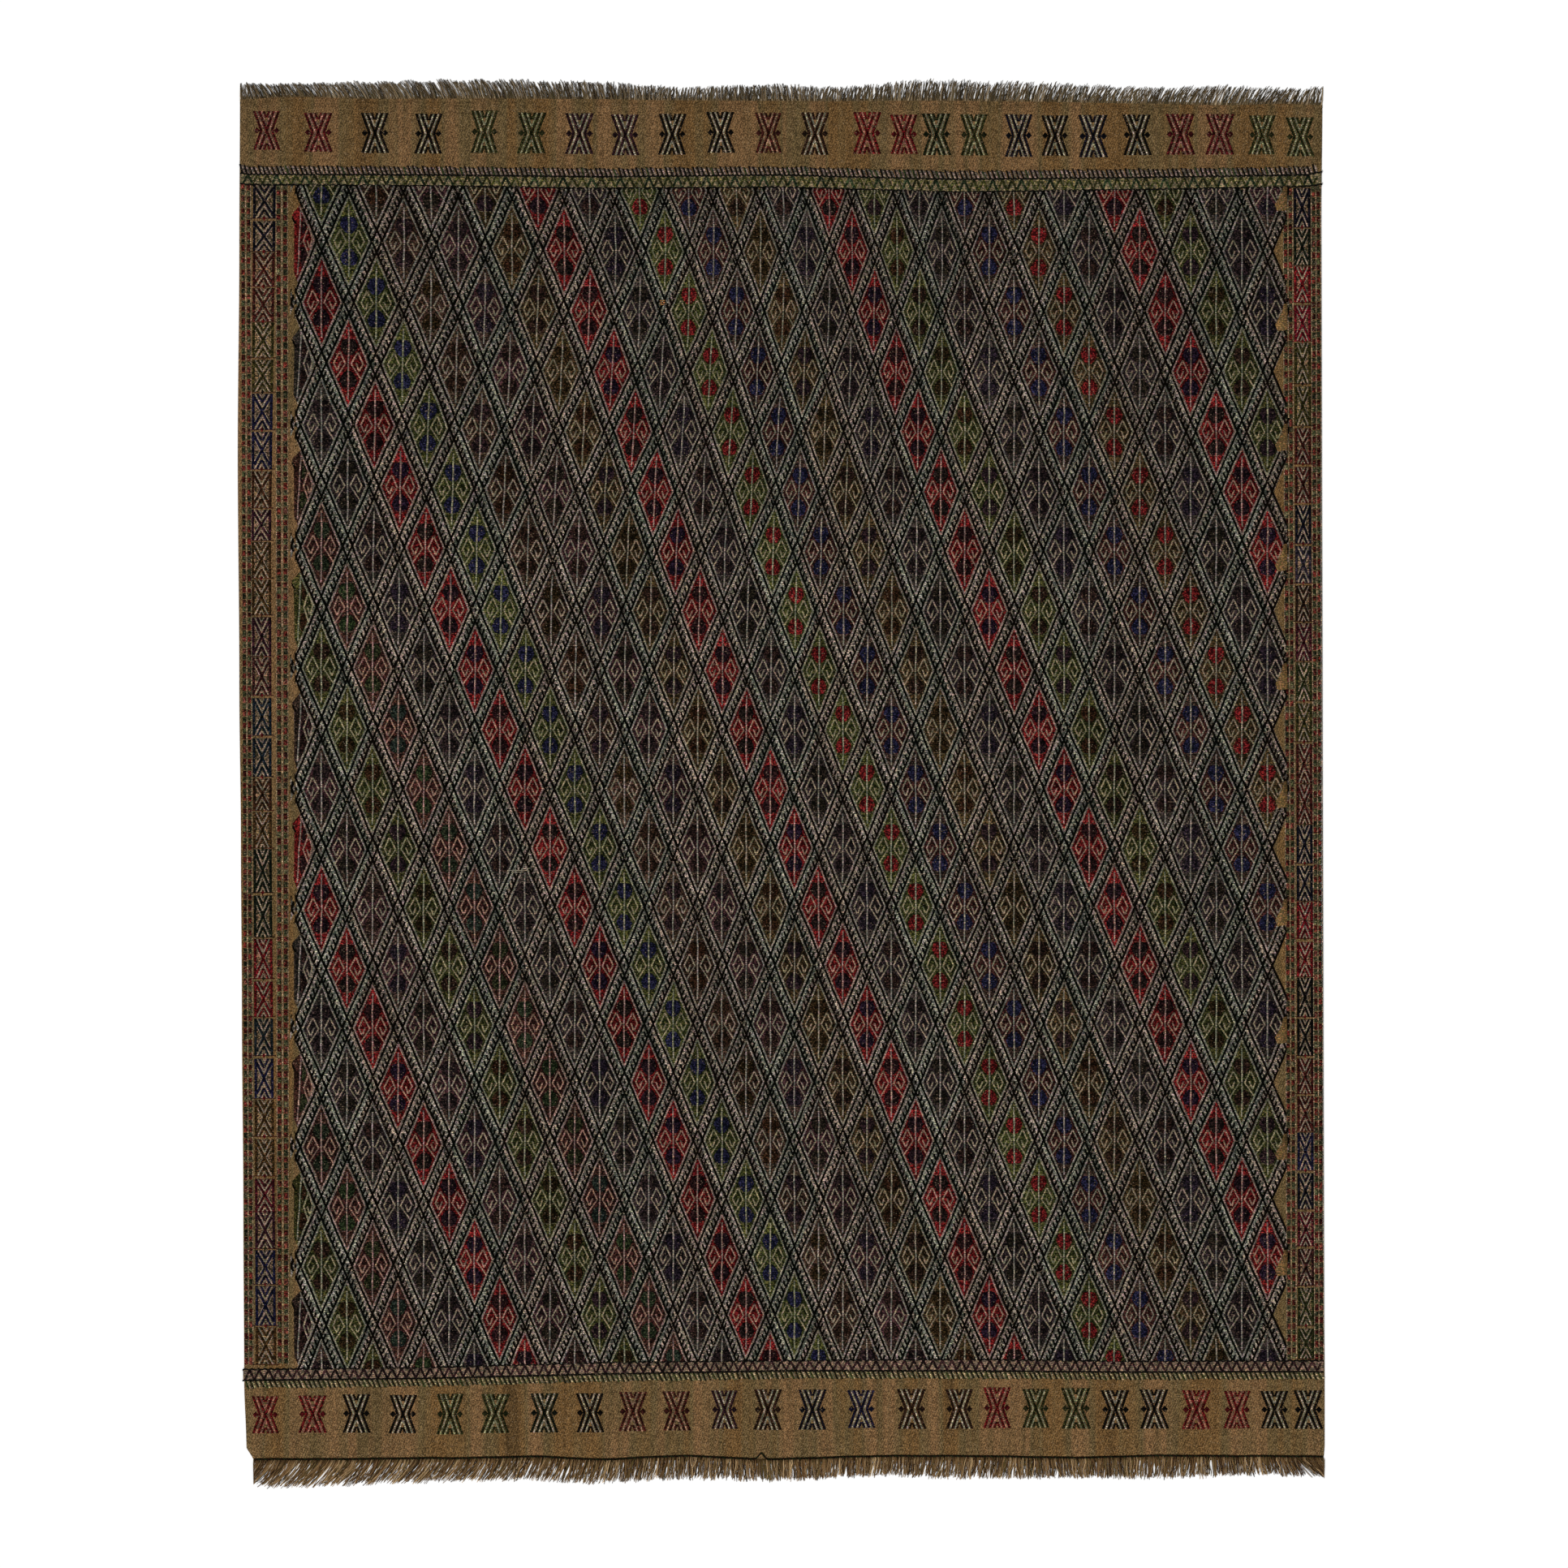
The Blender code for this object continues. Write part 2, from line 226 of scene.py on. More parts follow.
# ------------------------------------------------------------------------------------------------------------
# The borders: columns of crossed boxes between columns of red and green dashes. All in mm from the middle
# ------------------------------------------------------------------------------------------------------------
NAMED = {
    "navy_black": (13, 15, 25), "maroon_brown": (51, 23, 20), "olive_green": (43, 46, 21),
    "navy": (18, 21, 46), "brown": (44, 30, 18), "plum": (38, 21, 30), "olive_brown": (51, 41, 21),
    "brown_plum": (46, 25, 26), "teal_navy": (16, 28, 38), "black_green": (15, 23, 15),
    "red": (74, 16, 20), "navy_green": (18, 28, 33), "maroon_plum": (61, 20, 28),
    "crimson": (78, 16, 23), "dark_red": (80, 18, 20), "black": (11, 11, 10), "brown_red": (75, 28, 20),
    "olive": (54, 51, 23), "dark_green": (23, 32, 17), "green": (33, 42, 20), "lozenge": (57, 25, 33),
    "red_maroon": (90, 20, 26), "crimson_maroon": (85, 18, 30), "navy_grey": (33, 34, 46),
    "dark_brown": (33, 23, 16), "plum_maroon": (51, 21, 28), "plum_brown": (43, 25, 23), "dark": (23, 18, 16),
    "maroon": (60, 17, 21), "light": (98, 82, 61), "dark_plum": (33, 21, 28),
}
Box = namedtuple("Box", "top bottom colour knot")
LEFT_BOXES = tuple(Box(*row) for row in (
    (943, 889, "navy_black", "crimson"), (885, 837, "navy_black", "crimson"),
    (836, 782, "maroon_brown", "dark_red"), (780, 727, "maroon_brown", "dark_red"),
    (726, 670, "olive_green", "brown"), (667, 616, "olive_green", "black"),
    (614, 557, "navy", "crimson"), (554, 495, "navy", "brown_red"),
    (492, 434, "brown", "olive"), (432, 383, "plum", "brown"),
    (381, 324, "olive_brown", "crimson"), (322, 266, "olive_brown", "brown"),
    (263, 201, "plum", "olive"), (200, 140, "brown_plum", "crimson"),
    (136, 77, "teal_navy", "crimson"), (73, 12, "teal_navy", "crimson"),
    (10, -41, "brown", "olive"), (-43, -100, "olive_brown", "dark_green"),
    (-101, -170, "black_green", "crimson"), (-174, -240, "black_green", "green"),
    (-242, -305, "red", "dark_green"), (-309, -365, "red", "dark_green"),
    (-367, -426, "navy_green", "crimson"), (-430, -493, "navy", "crimson"),
    (-495, -553, "olive_brown", "crimson"), (-557, -615, "olive_brown", "crimson"),
    (-619, -671, "maroon_plum", "lozenge"), (-671, -729, "plum", "dark_green"),
    (-731, -785, "navy", "crimson"), (-787, -850, "navy", "crimson"),
    (-852, -911, "olive_brown", "olive"),
))
RIGHT_BOXES = tuple(Box(*row) for row in (
    (937, 875, "navy_black", "red"), (873, 815, "black_green", "dark_green"),
    (814, 757, "red_maroon", "maroon"), (753, 696, "crimson_maroon", "dark_red"),
    (694, 629, "olive_green", "black"), (625, 563, "olive_green", "black"),
    (560, 503, "maroon_brown", "brown_red"), (499, 442, "maroon_brown", "light"),
    (439, 378, "navy_black", "crimson"), (375, 316, "navy_grey", "red"),
    (313, 256, "dark_brown", "dark"), (254, 194, "plum_maroon", "dark"),
    (192, 131, "green", "red"), (128, 67, "olive_green", "red"),
    (64, 2, "maroon_brown", "brown"), (1, -62, "maroon_brown", "green"),
    (-63, -124, "navy_black", "red"), (-127, -183, "navy_black", "dark"),
    (-184, -242, "crimson", "dark_green"), (-247, -302, "red", "black"),
    (-303, -365, "black", "red"), (-368, -426, "black", "red"),
    (-430, -486, "maroon_brown", "brown"), (-489, -545, "maroon_brown", "brown"),
    (-546, -606, "navy", "crimson"), (-610, -667, "navy_black", "brown"),
    (-671, -725, "maroon_plum", "dark"), (-729, -787, "plum_brown", "dark"),
    (-790, -850, "green", "red"), (-854, -902, "green", "green"),
))
# Where the columns stand, as (height, left side, right side) of the boxes and (height, middle) of the dashes.
LEFT_BOX_SIDES = (
    (943, -829.4, -793.2), (700, -830.6, -797.0), (400, -831.9, -801.3), (-170, -828.1, -800.1),
    (-911, -825.0, -793.0),
)
RIGHT_BOX_SIDES = ((937, 805.2, 830.7), (400, 807.7, 832.0), (-170, 810.3, 834.5), (-911, 812.0, 836.5))
LEFT_DASHES = (
    ((943, -845.4), (-911, -839.8), 5.6),
    ((943, -836.6), (-911, -832.6), 5.4),
    ((943, -789.4), (-911, -787.4), 6.2),
    ((943, -779.0), (-911, -777.4), 6.4),
)
RIGHT_DASHES = (
    ((935, 792.0), (-904, 797.8), 5.4),
    ((936, 799.4), (-904, 805.6), 5.2),
    ((940, 836.0), (-904, 841.4), 5.4),
    ((941, 843.2), (-904, 848.4), 5.2),
)
LEFT_RIBS = (
    ((943, -841.2), (-911, -836.3), 1.7), ((943, -833.2), (-911, -829.2), 1.4),
    ((943, -793.2), (-911, -791.2), 1.3), ((943, -784.2), (-911, -782.4), 2.0),
    ((943, -775.2), (-911, -773.6), 1.2),
)
RIGHT_RIBS = (
    ((935, 788.6), (-904, 794.4), 1.4), ((935, 795.7), (-904, 801.6), 1.3),
    ((936, 803.3), (-904, 809.4), 1.6), ((940, 832.6), (-904, 838.0), 1.6),
    ((940, 839.7), (-904, 845.0), 1.6), ((941, 847.2), (-904, 852.0), 1.4),
)
DASH_LENGTH = 9.56
DASH_COLOURS = ((57, 21, 17), (40, 42, 27))
DASH_BEIGE = (107, 94, 74)
BOX_BEIGE = (121, 108, 92)
BOX_GROUND = (90, 75, 54)
BOX_BAR_RED = (60, 16, 16)
# The nested angles in each quarter of a box: from, to, width in mm, and whether the yarn is dark.
BOX_ANGLES = (
    ((0.72, 0.56), (0.22, 0.03), 1.9, False),
    ((0.70, 0.98), (0.0, 0.26), 2.6, False),
    ((0.48, 0.98), (0.0, 0.50), 3.6, True),
    ((0.26, 0.98), (0.0, 0.74), 1.8, False),
)
DARKENING = np.array((0.86, 0.74, 0.70))  # of the dark yarns of boxes and motifs, against the named colours

# ------------------------------------------------------------------------------------------------------------
# The end bands: a row of crossed motifs in each, and stitched lines along the field
# ------------------------------------------------------------------------------------------------------------
Motif = namedtuple("Motif", "x y colour")
TOP_MOTIFS = (
    (-808, 1031, "maroon"), (-727, 1028, "maroon"), (-638, 1027, "black"), (-554, 1026, "black"),
    (-466, 1029, "green"), (-392, 1027, "green"), (-317, 1026, "dark_plum"), (-245, 1024, "dark_plum"),
    (-171, 1025, "black"), (-95, 1028, "black"), (-20, 1027, "maroon_brown"), (53, 1026, "dark_brown"),
    (135, 1027, "red"), (193, 1025, "red"), (244, 1025, "dark_green"), (303, 1024, "green"),
    (373, 1023, "navy_black"), (430, 1023, "black"), (490, 1022, "navy_black"), (559, 1024, "black"),
    (627, 1025, "maroon"), (689, 1025, "maroon"), (755, 1024, "green"), (815, 1021, "green"),
)
BOTTOM_MOTIFS = (
    (-810, -992, "red"), (-736, -991, "red"), (-667, -990, "black"), (-594, -991, "black"),
    (-520, -991, "green"), (-449, -990, "green"), (-372, -989, "black_green"), (-300, -989, "black"),
    (-233, -987, "maroon_brown"), (-164, -986, "maroon_brown"), (-89, -984, "dark_plum"),
    (-21, -984, "dark_brown"), (49, -984, "navy_black"), (126, -983, "navy"), (205, -983, "dark_brown"),
    (280, -983, "dark_brown"), (339, -981, "red"), (400, -982, "green"), (463, -982, "green"),
    (525, -984, "black"), (586, -983, "black"), (652, -984, "red"), (716, -984, "red"),
    (775, -984, "black"), (828, -984, "black"),
)
MOTIF_TINTS = {
    "maroon": (104, 76, 66), "red": (108, 74, 62), "green": (98, 100, 76), "dark_green": (92, 94, 73),
    "maroon_brown": (105, 84, 67),
}
MOTIF_TINT = (112, 108, 92)

# The dark lines at both ends of the field, each a few points across the rug.
TOP_UPPER_LINE = (
    (-850, 960), (-837, 958), (-564, 957), (-284, 954), (-3, 957),
    (277, 950), (558, 953), (826, 957), (850, 962),
)
TOP_LOWER_LINE = (
    (-850, 944), (-837, 942), (-564, 940), (-284, 936), (-3, 938),
    (277, 930), (558, 934), (826, 939), (850, 943),
)
BOTTOM_INNER_LINE = (
    (-846, -919), (-564, -916), (-284, -908), (-3, -905), (277, -903),
    (558, -906), (826, -905), (852, -905),
)
BOTTOM_OUTER_LINE = (
    (-846, -936), (-564, -933), (-284, -926), (-3, -921), (277, -921),
    (558, -923), (826, -922), (852, -923),
)

MEND, MEND_COLOUR = (-186.8, 756.7), (128, 92, 54)
LOOSE_YARNS = ((-430.0, -135.0, 33.0), (-424.0, -137.6, 20.0), (-408.0, -132.6, 14.0))
LOOSE_COLOUR = (138, 128, 110)

TOOTH_PITCH = 7.35  # of the slanting stitches that stand on the end lines
TOP_TEETH, TOP_TOOTH_LIGHT, TOP_LINES_GROUND = ((17, 15, 13), (34, 44, 26)), (99, 88, 79), (92, 84, 62)
BOTTOM_TEETH, BOTTOM_TOOTH_LIGHT = ((24, 27, 16), (42, 50, 26)), (110, 103, 78)
BOTTOM_LINES_GROUND = (100, 85, 70)
ZIGZAG_OLIVE, ZIGZAG_BOTTLE, ZIGZAG_MAROON = (43, 44, 21), (27, 36, 22), (31, 19, 19)
KERNEL_COLOUR = (84, 78, 44)
TOP_MOTIF_SHIFT, TOP_MOTIF_REACH = -4.0, 25.0
BOTTOM_MOTIF_SHIFT, BOTTOM_MOTIF_REACH = 2.0, 24.0

# ------------------------------------------------------------------------------------------------------------
# Colours that the finishes read, and the fringe
# ------------------------------------------------------------------------------------------------------------
TAN_STREAKS = ((78, 59, 35), (98, 73, 43), (87, 72, 46), (108, 81, 53), (84, 68, 43))
TOP_FRINGE_COLOURS = ((88, 74, 52), (58, 48, 34), (134, 118, 94), (70, 62, 42), (46, 38, 26), (96, 80, 58))
BOTTOM_FRINGE_COLOURS = (
    (108, 84, 54), (80, 58, 36), (160, 134, 98), (84, 70, 40), (102, 76, 48), (54, 38, 24),
    (124, 98, 66), (46, 34, 20),
)
CORD_COLOURS = ((22, 30, 16), (26, 14, 11))
OLIVE_TUFT = (88, 84, 44)
PLAIN_FLECK = (148, 126, 98)
# The bottom heading strip's dark brown is painted shade between the fringe's roots; the top heading is the
# cloth's own tan.
TOP_HEADING_COLOUR, BOTTOM_HEADING_SHADE = (112, 88, 56), (52, 38, 24)
TOP_YARNS, TOP_YARN_RADIUS = 2000, 0.00066
BOTTOM_YARNS, BOTTOM_YARN_RADIUS = 3100, 0.00068
PLY_OFFSET = 0.00066  # of each of the cord's two yarns from its middle


def linear(colour):
    """An sRGB colour of 0 to 255 as the linear values that shaders take."""
    share = np.asarray(colour, float) / 255.0
    return np.where(share <= 0.04045, share / 12.92, ((share + 0.055) / 1.055) ** 2.4)


def stray(number, seed):
    """A value from -1 to 1 that looks random and is the same each time."""
    wave = np.sin(np.asarray(number, float) * 12.9898 + seed * 78.233) * 43758.5453
    return 2.0 * (wave - np.floor(wave)) - 1.0


# ------------------------------------------------------------------------------------------------------------
# Places on the rug
# ------------------------------------------------------------------------------------------------------------
def eased(table, at, column):
    """A table's column at places along its first one, eased from row to row as in the model's source."""
    at = np.asarray(at, float)
    after = np.clip(np.searchsorted(table[:, 0], at), 1, len(table) - 1)
    start, stop = table[after - 1], table[after]
    share = np.clip((at - start[..., 0]) / (stop[..., 0] - start[..., 0]), 0.0, 1.0)
    share = share * share * (3.0 - 2.0 * share)
    return start[..., column] + (stop[..., column] - start[..., column]) * share


def cloth_top_y(x):
    return eased(TOP_END, x, CLOTH_END) - TOP_BACKING_DEPTH - GAP


def cord_y(x):
    return eased(BOTTOM_END, x, CLOTH_END)


def cloth_bottom_y(x):
    return cord_y(x) + CORD_RADIUS - CORD_BITE


def cloth_place(across, along):
    """The x and y of places given as shares of the cloth's width and length."""
    y = np.where(along < 0.5, cloth_bottom_y(0.0), cloth_top_y(0.0))
    for _ in range(PLACE_ROUNDS):
        left = eased(SELVEDGES, y, 1)
        x = left + (eased(SELVEDGES, y, 2) - left) * across
        y = cloth_bottom_y(x) + (cloth_top_y(x) - cloth_bottom_y(x)) * along
    return x, y


def ripple(x, y):
    wave = np.sin(2.0 * np.pi * x / RIPPLE_LENGTHS[0] + 2.0 * y)
    wave = wave + np.sin(2.0 * np.pi * y / RIPPLE_LENGTHS[1] - 1.5 * x)
    return 0.5 * RIPPLE_HEIGHT * wave


def field_place(warp, row):
    """The x and y, in metres, of a place in the field given by its warp and its row."""
    column, number = warp / (2 * HALF), row / HALF
    leaning = np.sin(np.pi * np.clip(column / LEANING_COLUMNS, 0.0, 1.0))
    leaning = leaning * np.exp(-((number / LEANING_ROWS) ** 2))
    bow = np.sin(2.0 * np.pi * column / LAST_CROSSING)
    x = FIRST_COLUMN_AT + COLUMN_PITCH * column + COLUMN_BOW * bow + TOP_LEAN * leaning
    spread = 1.0 + LEFT_SPREAD * np.exp(-((column / SPREAD_COLUMNS) ** 2))
    sag = ROW_BOW * np.sin(np.pi * number / (2 * MIDDLE_ROW))
    y = MIDDLE_ROW_AT - ROW_PITCH * (number - MIDDLE_ROW) * spread - sag
    x = x + 0.45 * np.sin(y / 9.5 + 0.021 * x) + 0.35 * np.sin(y / 23.0 - 0.013 * x)
    y = y + 0.55 * np.sin(x / 17.0 + 0.008 * y) + 0.35 * np.sin(x / 7.3)
    return x * MM, y * MM


# ------------------------------------------------------------------------------------------------------------
# Slabs of yarn
# ------------------------------------------------------------------------------------------------------------
Tile = namedtuple("Tile", "points raised loops totals codes numbers middles")
SPREAD = 0.05  # slabs are raised this far apart in height, so that only a slab's own corners weld


def slanted(start, stop, width, blocks=1):
    """A stroke as short blocks with level ends, one above the other."""
    start, stop = np.asarray(start, float), np.asarray(stop, float)
    half = np.array((width / 2.0, 0.0))
    cuts = [start + (stop - start) * i / blocks for i in range(blocks + 1)]
    return [(a - half, a + half, b + half, b - half) for a, b in zip(cuts, cuts[1:])]


def level(start, stop, height):
    """A stroke with upright ends, for lines that run across the rug."""
    start, stop = np.asarray(start, float), np.asarray(stop, float)
    half = np.array((0.0, height / 2.0))
    return [(start - half, stop - half, stop + half, start + half)]


def stepped(start, stop, width, height):
    """A stroke as upright blocks, each moved over by a step, as brocade climbs from row to row."""
    start, stop = np.asarray(start, float), np.asarray(stop, float)
    count = max(1, round(abs(stop[1] - start[1]) / height))
    blocks = []
    for i in range(count):
        middle = start + (stop - start) * (i + 0.5) / count
        half = abs(stop[1] - start[1]) / count / 2.0
        signs = ((-1, -1), (1, -1), (1, 1), (-1, 1))
        blocks.append(tuple(middle + (sx * width / 2.0, sy * half) for sx, sy in signs))
    return blocks


def slabs(outlines, planes=(), rim=RIM):
    """Closed low slabs over flat outlines, which are (code, corners in metres).

    Each plane is (point, normal) and keeps what lies behind it. The raised corners are marked and not yet
    lifted.
    """
    shape = bmesh.new()
    code_layer = shape.faces.layers.int.new("code")
    number_layer = shape.faces.layers.int.new("number")
    for number, (code, corners) in enumerate(outlines):
        face = shape.faces.new([shape.verts.new((x, y, number * SPREAD)) for x, y in corners])
        face.normal_update()
        if face.normal.z < 0.0:
            face.normal_flip()
        face[code_layer], face[number_layer] = code, number
    for point, normal in planes:
        everything = shape.verts[:] + shape.edges[:] + shape.faces[:]
        bmesh.ops.bisect_plane(
            shape, geom=everything, dist=1e-7, plane_co=Vector(point), plane_no=Vector(normal),
            clear_outer=True,
        )
    tops = shape.faces[:]
    copied = bmesh.ops.duplicate(shape, geom=tops)["geom"]
    under = [item for item in copied if isinstance(item, bmesh.types.BMFace)]
    bmesh.ops.reverse_faces(shape, faces=under)
    bmesh.ops.inset_individual(shape, faces=tops, thickness=rim, depth=SPREAD / 2.0, use_even_offset=True)
    bmesh.ops.remove_doubles(shape, verts=shape.verts, dist=1e-7)
    mesh = bpy.data.meshes.new("slabs")
    shape.to_mesh(mesh)
    shape.free()
    tile = arrays_of(mesh)
    bpy.data.meshes.remove(mesh)
    return tile


def read(collection, name, kind, width=1):
    values = np.empty(len(collection) * width, kind)
    collection.foreach_get(name, values)
    return values.reshape(-1, width) if width > 1 else values


def arrays_of(mesh):
    """A mesh of slabs as arrays, with each corner's slab and the middle of that slab."""
    points = read(mesh.vertices, "co", np.float32, 3).astype(float)
    loops = read(mesh.loops, "vertex_index", np.int32)
    totals = read(mesh.polygons, "loop_total", np.int32)
    codes = read(mesh.attributes["code"].data, "value", np.int32)
    numbers = read(mesh.attributes["number"].data, "value", np.int32)
    of_point = np.zeros(len(points), int)
    of_point[loops] = np.repeat(numbers, totals)
    raised = points[:, 2] - of_point * SPREAD > SPREAD / 4.0
    count = np.maximum(np.bincount(of_point, minlength=max(numbers, default=0) + 1), 1)
    middles = np.stack([np.bincount(of_point, points[:, i], len(count)) / count for i in (0, 1)], axis=1)
    return Tile(points[:, :2], raised, loops, totals, codes, numbers, middles[of_point])


Placed = namedtuple("Placed", "tile dx dy unit")


def joined(name, placed, place_of, starts, rises, colour_of, bake_of, material):
    """One mesh of many tiles.

    place_of turns flat points into x and y, starts and rises hold the heights by code, colour_of gives each
    face's colour from its unit, code and slab number, and bake_of each corner's place in the baking map.
    """
    offsets, first = [], 0
    for item in placed:
        offsets.append(first)
        first += len(item.tile.points)
    shift = [np.array((item.dx, item.dy)) for item in placed]
    flat = np.concatenate([item.tile.points + s for item, s in zip(placed, shift)])
    middles = np.concatenate([item.tile.middles + s for item, s in zip(placed, shift)])
    raised = np.concatenate([item.tile.raised for item in placed])
    loops = np.concatenate([item.tile.loops + offset for item, offset in zip(placed, offsets)])
    totals = np.concatenate([item.tile.totals for item in placed])
    codes = np.concatenate([item.tile.codes for item in placed])
    numbers = np.concatenate([item.tile.numbers for item in placed])
    units = np.concatenate([np.full(len(item.tile.totals), item.unit) for item in placed])
    code_of_point = np.zeros(len(flat), int)
    unit_of_point = np.zeros(len(flat), int)
    code_of_point[loops] = np.repeat(codes, totals)
    unit_of_point[loops] = np.repeat(units, totals)

    x, y = place_of(flat)
    z = (starts[code_of_point] + np.where(raised, rises[code_of_point], 0.0)) * MM + ripple(x, y)
    mesh = bpy.data.meshes.new(name)
    mesh.vertices.add(len(flat))
    mesh.loops.add(len(loops))
    mesh.polygons.add(len(totals))
    mesh.vertices.foreach_set("co", np.stack([x, y, z], axis=1).astype(np.float32).ravel())
    mesh.loops.foreach_set("vertex_index", loops.astype(np.int32))
    mesh.polygons.foreach_set("loop_start", np.concatenate([[0], np.cumsum(totals)[:-1]]).astype(np.int32))
    mesh.update(calc_edges=True)
    put_map(mesh, "weave", (flat / (WARP, ROW))[loops])
    put_map(mesh, "OFBake", bake_of(flat, middles, code_of_point, unit_of_point)[loops])
    put_colours(mesh, colour_of(units, codes, numbers))
    mesh.materials.append(material)
    return object_of(name, mesh)


def put_map(mesh, name, places):
    layer = mesh.uv_layers.new(name=name, do_init=False)
    layer.uv.foreach_set("vector", np.asarray(places, np.float32).ravel())


def put_colours(mesh, colours):
    """Each face's colour, and as a fourth value how far its stitches differ in shade."""
    layer = mesh.attributes.new("yarn", "FLOAT_COLOR", "FACE")
    if colours.shape[1] == 3:
        colours = np.concatenate([colours, np.ones((len(colours), 1))], axis=1)
    layer.data.foreach_set("color", colours.astype(np.float32).ravel())


def object_of(name, mesh):
    made = bpy.data.objects.new(name, mesh)
    bpy.context.scene.collection.objects.link(made)
    return made


# ------------------------------------------------------------------------------------------------------------
# Finishes
# ------------------------------------------------------------------------------------------------------------
class Finish:
    """A material and short ways to add and join its nodes."""

    def __init__(self, name, roughness):
        self.material = bpy.data.materials.new(name)
        self.material.use_nodes = True
        self.tree = self.material.node_tree
        self.shader = self.tree.nodes["Principled BSDF"]
        self.shader.inputs["Roughness"].default_value = roughness
        self.shader.inputs["Specular IOR Level"].default_value = 0.02

    def node(self, kind, settings=(), **inputs):
        made = self.tree.nodes.new(kind)
        for key, value in dict(settings).items():
            setattr(made, key, value)
        for key, value in inputs.items():
            self.feed(made.inputs[int(key[1:])], value)
        return made

    def feed(self, socket, value):
        if isinstance(value, bpy.types.NodeSocket):
            self.tree.links.new(value, socket)
        else:
            socket.default_value = value

    def maths(self, operation, first, second=0.0, third=0.0):
        return self.node("ShaderNodeMath", {"operation": operation}, _0=first, _1=second, _2=third).outputs[0]

    def vector(self, operation, first, second=(0.0, 0.0, 0.0)):
        return self.node("ShaderNodeVectorMath", {"operation": operation}, _0=first, _1=second).outputs[0]

    def scatter(self, cell):
        """A value of 0 to 1 for each cell."""
        return self.node("ShaderNodeTexWhiteNoise", {"noise_dimensions": "3D"}, _0=cell).outputs["Value"]

    def between(self, value, low, high):
        return self.node("ShaderNodeMapRange", (), _0=value, _3=low, _4=high).outputs[0]

    def mixed(self, share, first, second, how="MIX"):
        made = self.tree.nodes.new("ShaderNodeMix")
        made.data_type, made.blend_type = "RGBA", how
        for socket, value in ((made.inputs[0], share), (made.inputs[6], first), (made.inputs[7], second)):
            self.feed(socket, value)
        return made.outputs[2]

    def shaded(self, colour, share):
        """A colour times a value."""
        return self.node("ShaderNodeVectorMath", {"operation": "SCALE"}, _0=colour, _3=share).outputs[0]

    def relief(self, height, strength, depth):
        bump = self.node("ShaderNodeBump", ())
        bump.inputs["Strength"].default_value = strength
        bump.inputs["Distance"].default_value = depth
        self.feed(bump.inputs["Height"], height)
        self.feed(self.shader.inputs["Normal"], bump.outputs[0])


def with_alpha(colour):
    return (*(float(v) for v in linear(colour)), 1.0)


def stitch_cells(finish, cloth_map, warps, rows):
    """Cells of this many warps by this many rows, each row of them shifted by half a cell."""
    scaled = finish.vector("DIVIDE", cloth_map, (warps, rows, 1.0))
    parts = finish.node("ShaderNodeSeparateXYZ", (), _0=scaled)
    row = finish.maths("FLOOR", parts.outputs[1])
    shift = finish.maths("MULTIPLY", finish.maths("PINGPONG", row, 1.0), 0.5)
    column = finish.maths("FLOOR", finish.maths("ADD", parts.outputs[0], shift))
    return finish.node("ShaderNodeCombineXYZ", (), _0=column, _1=row, _2=0.0).outputs[0]


def brocade_finish(name, fleck_share=0.018, low=0.25, high=3.5):
    """Wool laid in over the cloth: each stitch takes the dye a little differently, with pale warp between."""
    finish = Finish(name, 0.92)
    cloth_map = finish.node("ShaderNodeUVMap", {"uv_map": "weave"}).outputs[0]
    dyed = finish.node("ShaderNodeAttribute", {"attribute_name": "yarn"})
    yarn, grain = dyed.outputs["Color"], dyed.outputs["Alpha"]
    cells = stitch_cells(finish, cloth_map, 1.5, 0.6)
    stitch = finish.scatter(cells)
    wrap = finish.scatter(stitch_cells(finish, finish.vector("ADD", cloth_map, (7.3, 3.1, 0.0)), 3.1, 1.0))
    shade = finish.between(finish.maths("POWER", stitch, 2.6), low, high)
    shade = finish.maths("MULTIPLY", shade, finish.between(wrap, 0.82, 1.16))
    where = finish.node("ShaderNodeTexCoord").outputs["Object"]
    fade = finish.node("ShaderNodeTexNoise", (), _0=where, _2=5.0, _3=3.0).outputs[0]
    shade = finish.maths("MULTIPLY", shade, finish.between(fade, 0.72, 1.28))
    place = finish.node("ShaderNodeSeparateXYZ", (), _0=cloth_map)
    group = finish.maths("FLOOR", finish.maths("DIVIDE", place.outputs[0], 2.7))
    uneven = finish.scatter(finish.node("ShaderNodeCombineXYZ", (), _0=group, _1=0.0, _2=5.0).outputs[0])
    rows = finish.maths("MULTIPLY_ADD", uneven, 0.55, place.outputs[1])
    # Painted shade: the grooves between the brocade rows darken the colour below, and the same profile also
    # drives the relief.
    groove = finish.maths("MULTIPLY", finish.maths("PINGPONG", rows, 0.5), 2.0)
    dye = finish.node("ShaderNodeTexWhiteNoise", {"noise_dimensions": "3D"}, _0=cells).outputs["Color"]
    tint = finish.vector("ADD", finish.vector("MULTIPLY", dye, (0.36, 0.30, 0.36)), (0.82, 0.85, 0.82))
    shade = finish.maths("MULTIPLY_ADD", finish.maths("SUBTRACT", shade, 1.0), grain, 1.0)
    shade = finish.maths("MULTIPLY", shade, finish.between(groove, 0.5, 1.42))
    colour = finish.shaded(finish.vector("MULTIPLY", yarn, tint), shade)
    fleck = finish.scatter(stitch_cells(finish, finish.vector("ADD", cloth_map, (1.7, 0.4, 3.0)), 1.2, 0.45))
    fleck = finish.maths("GREATER_THAN", fleck, 1.0 - fleck_share)
    colour = finish.mixed(finish.maths("MULTIPLY", fleck, 0.5), colour, with_alpha((130, 112, 92)))
    finish.feed(finish.shader.inputs["Base Color"], colour)
    height = finish.maths("ADD", finish.maths("MULTIPLY", groove, 0.6), finish.maths("MULTIPLY", stitch, 0.5))
    finish.relief(height, 0.6, 0.0003)
    return finish.material


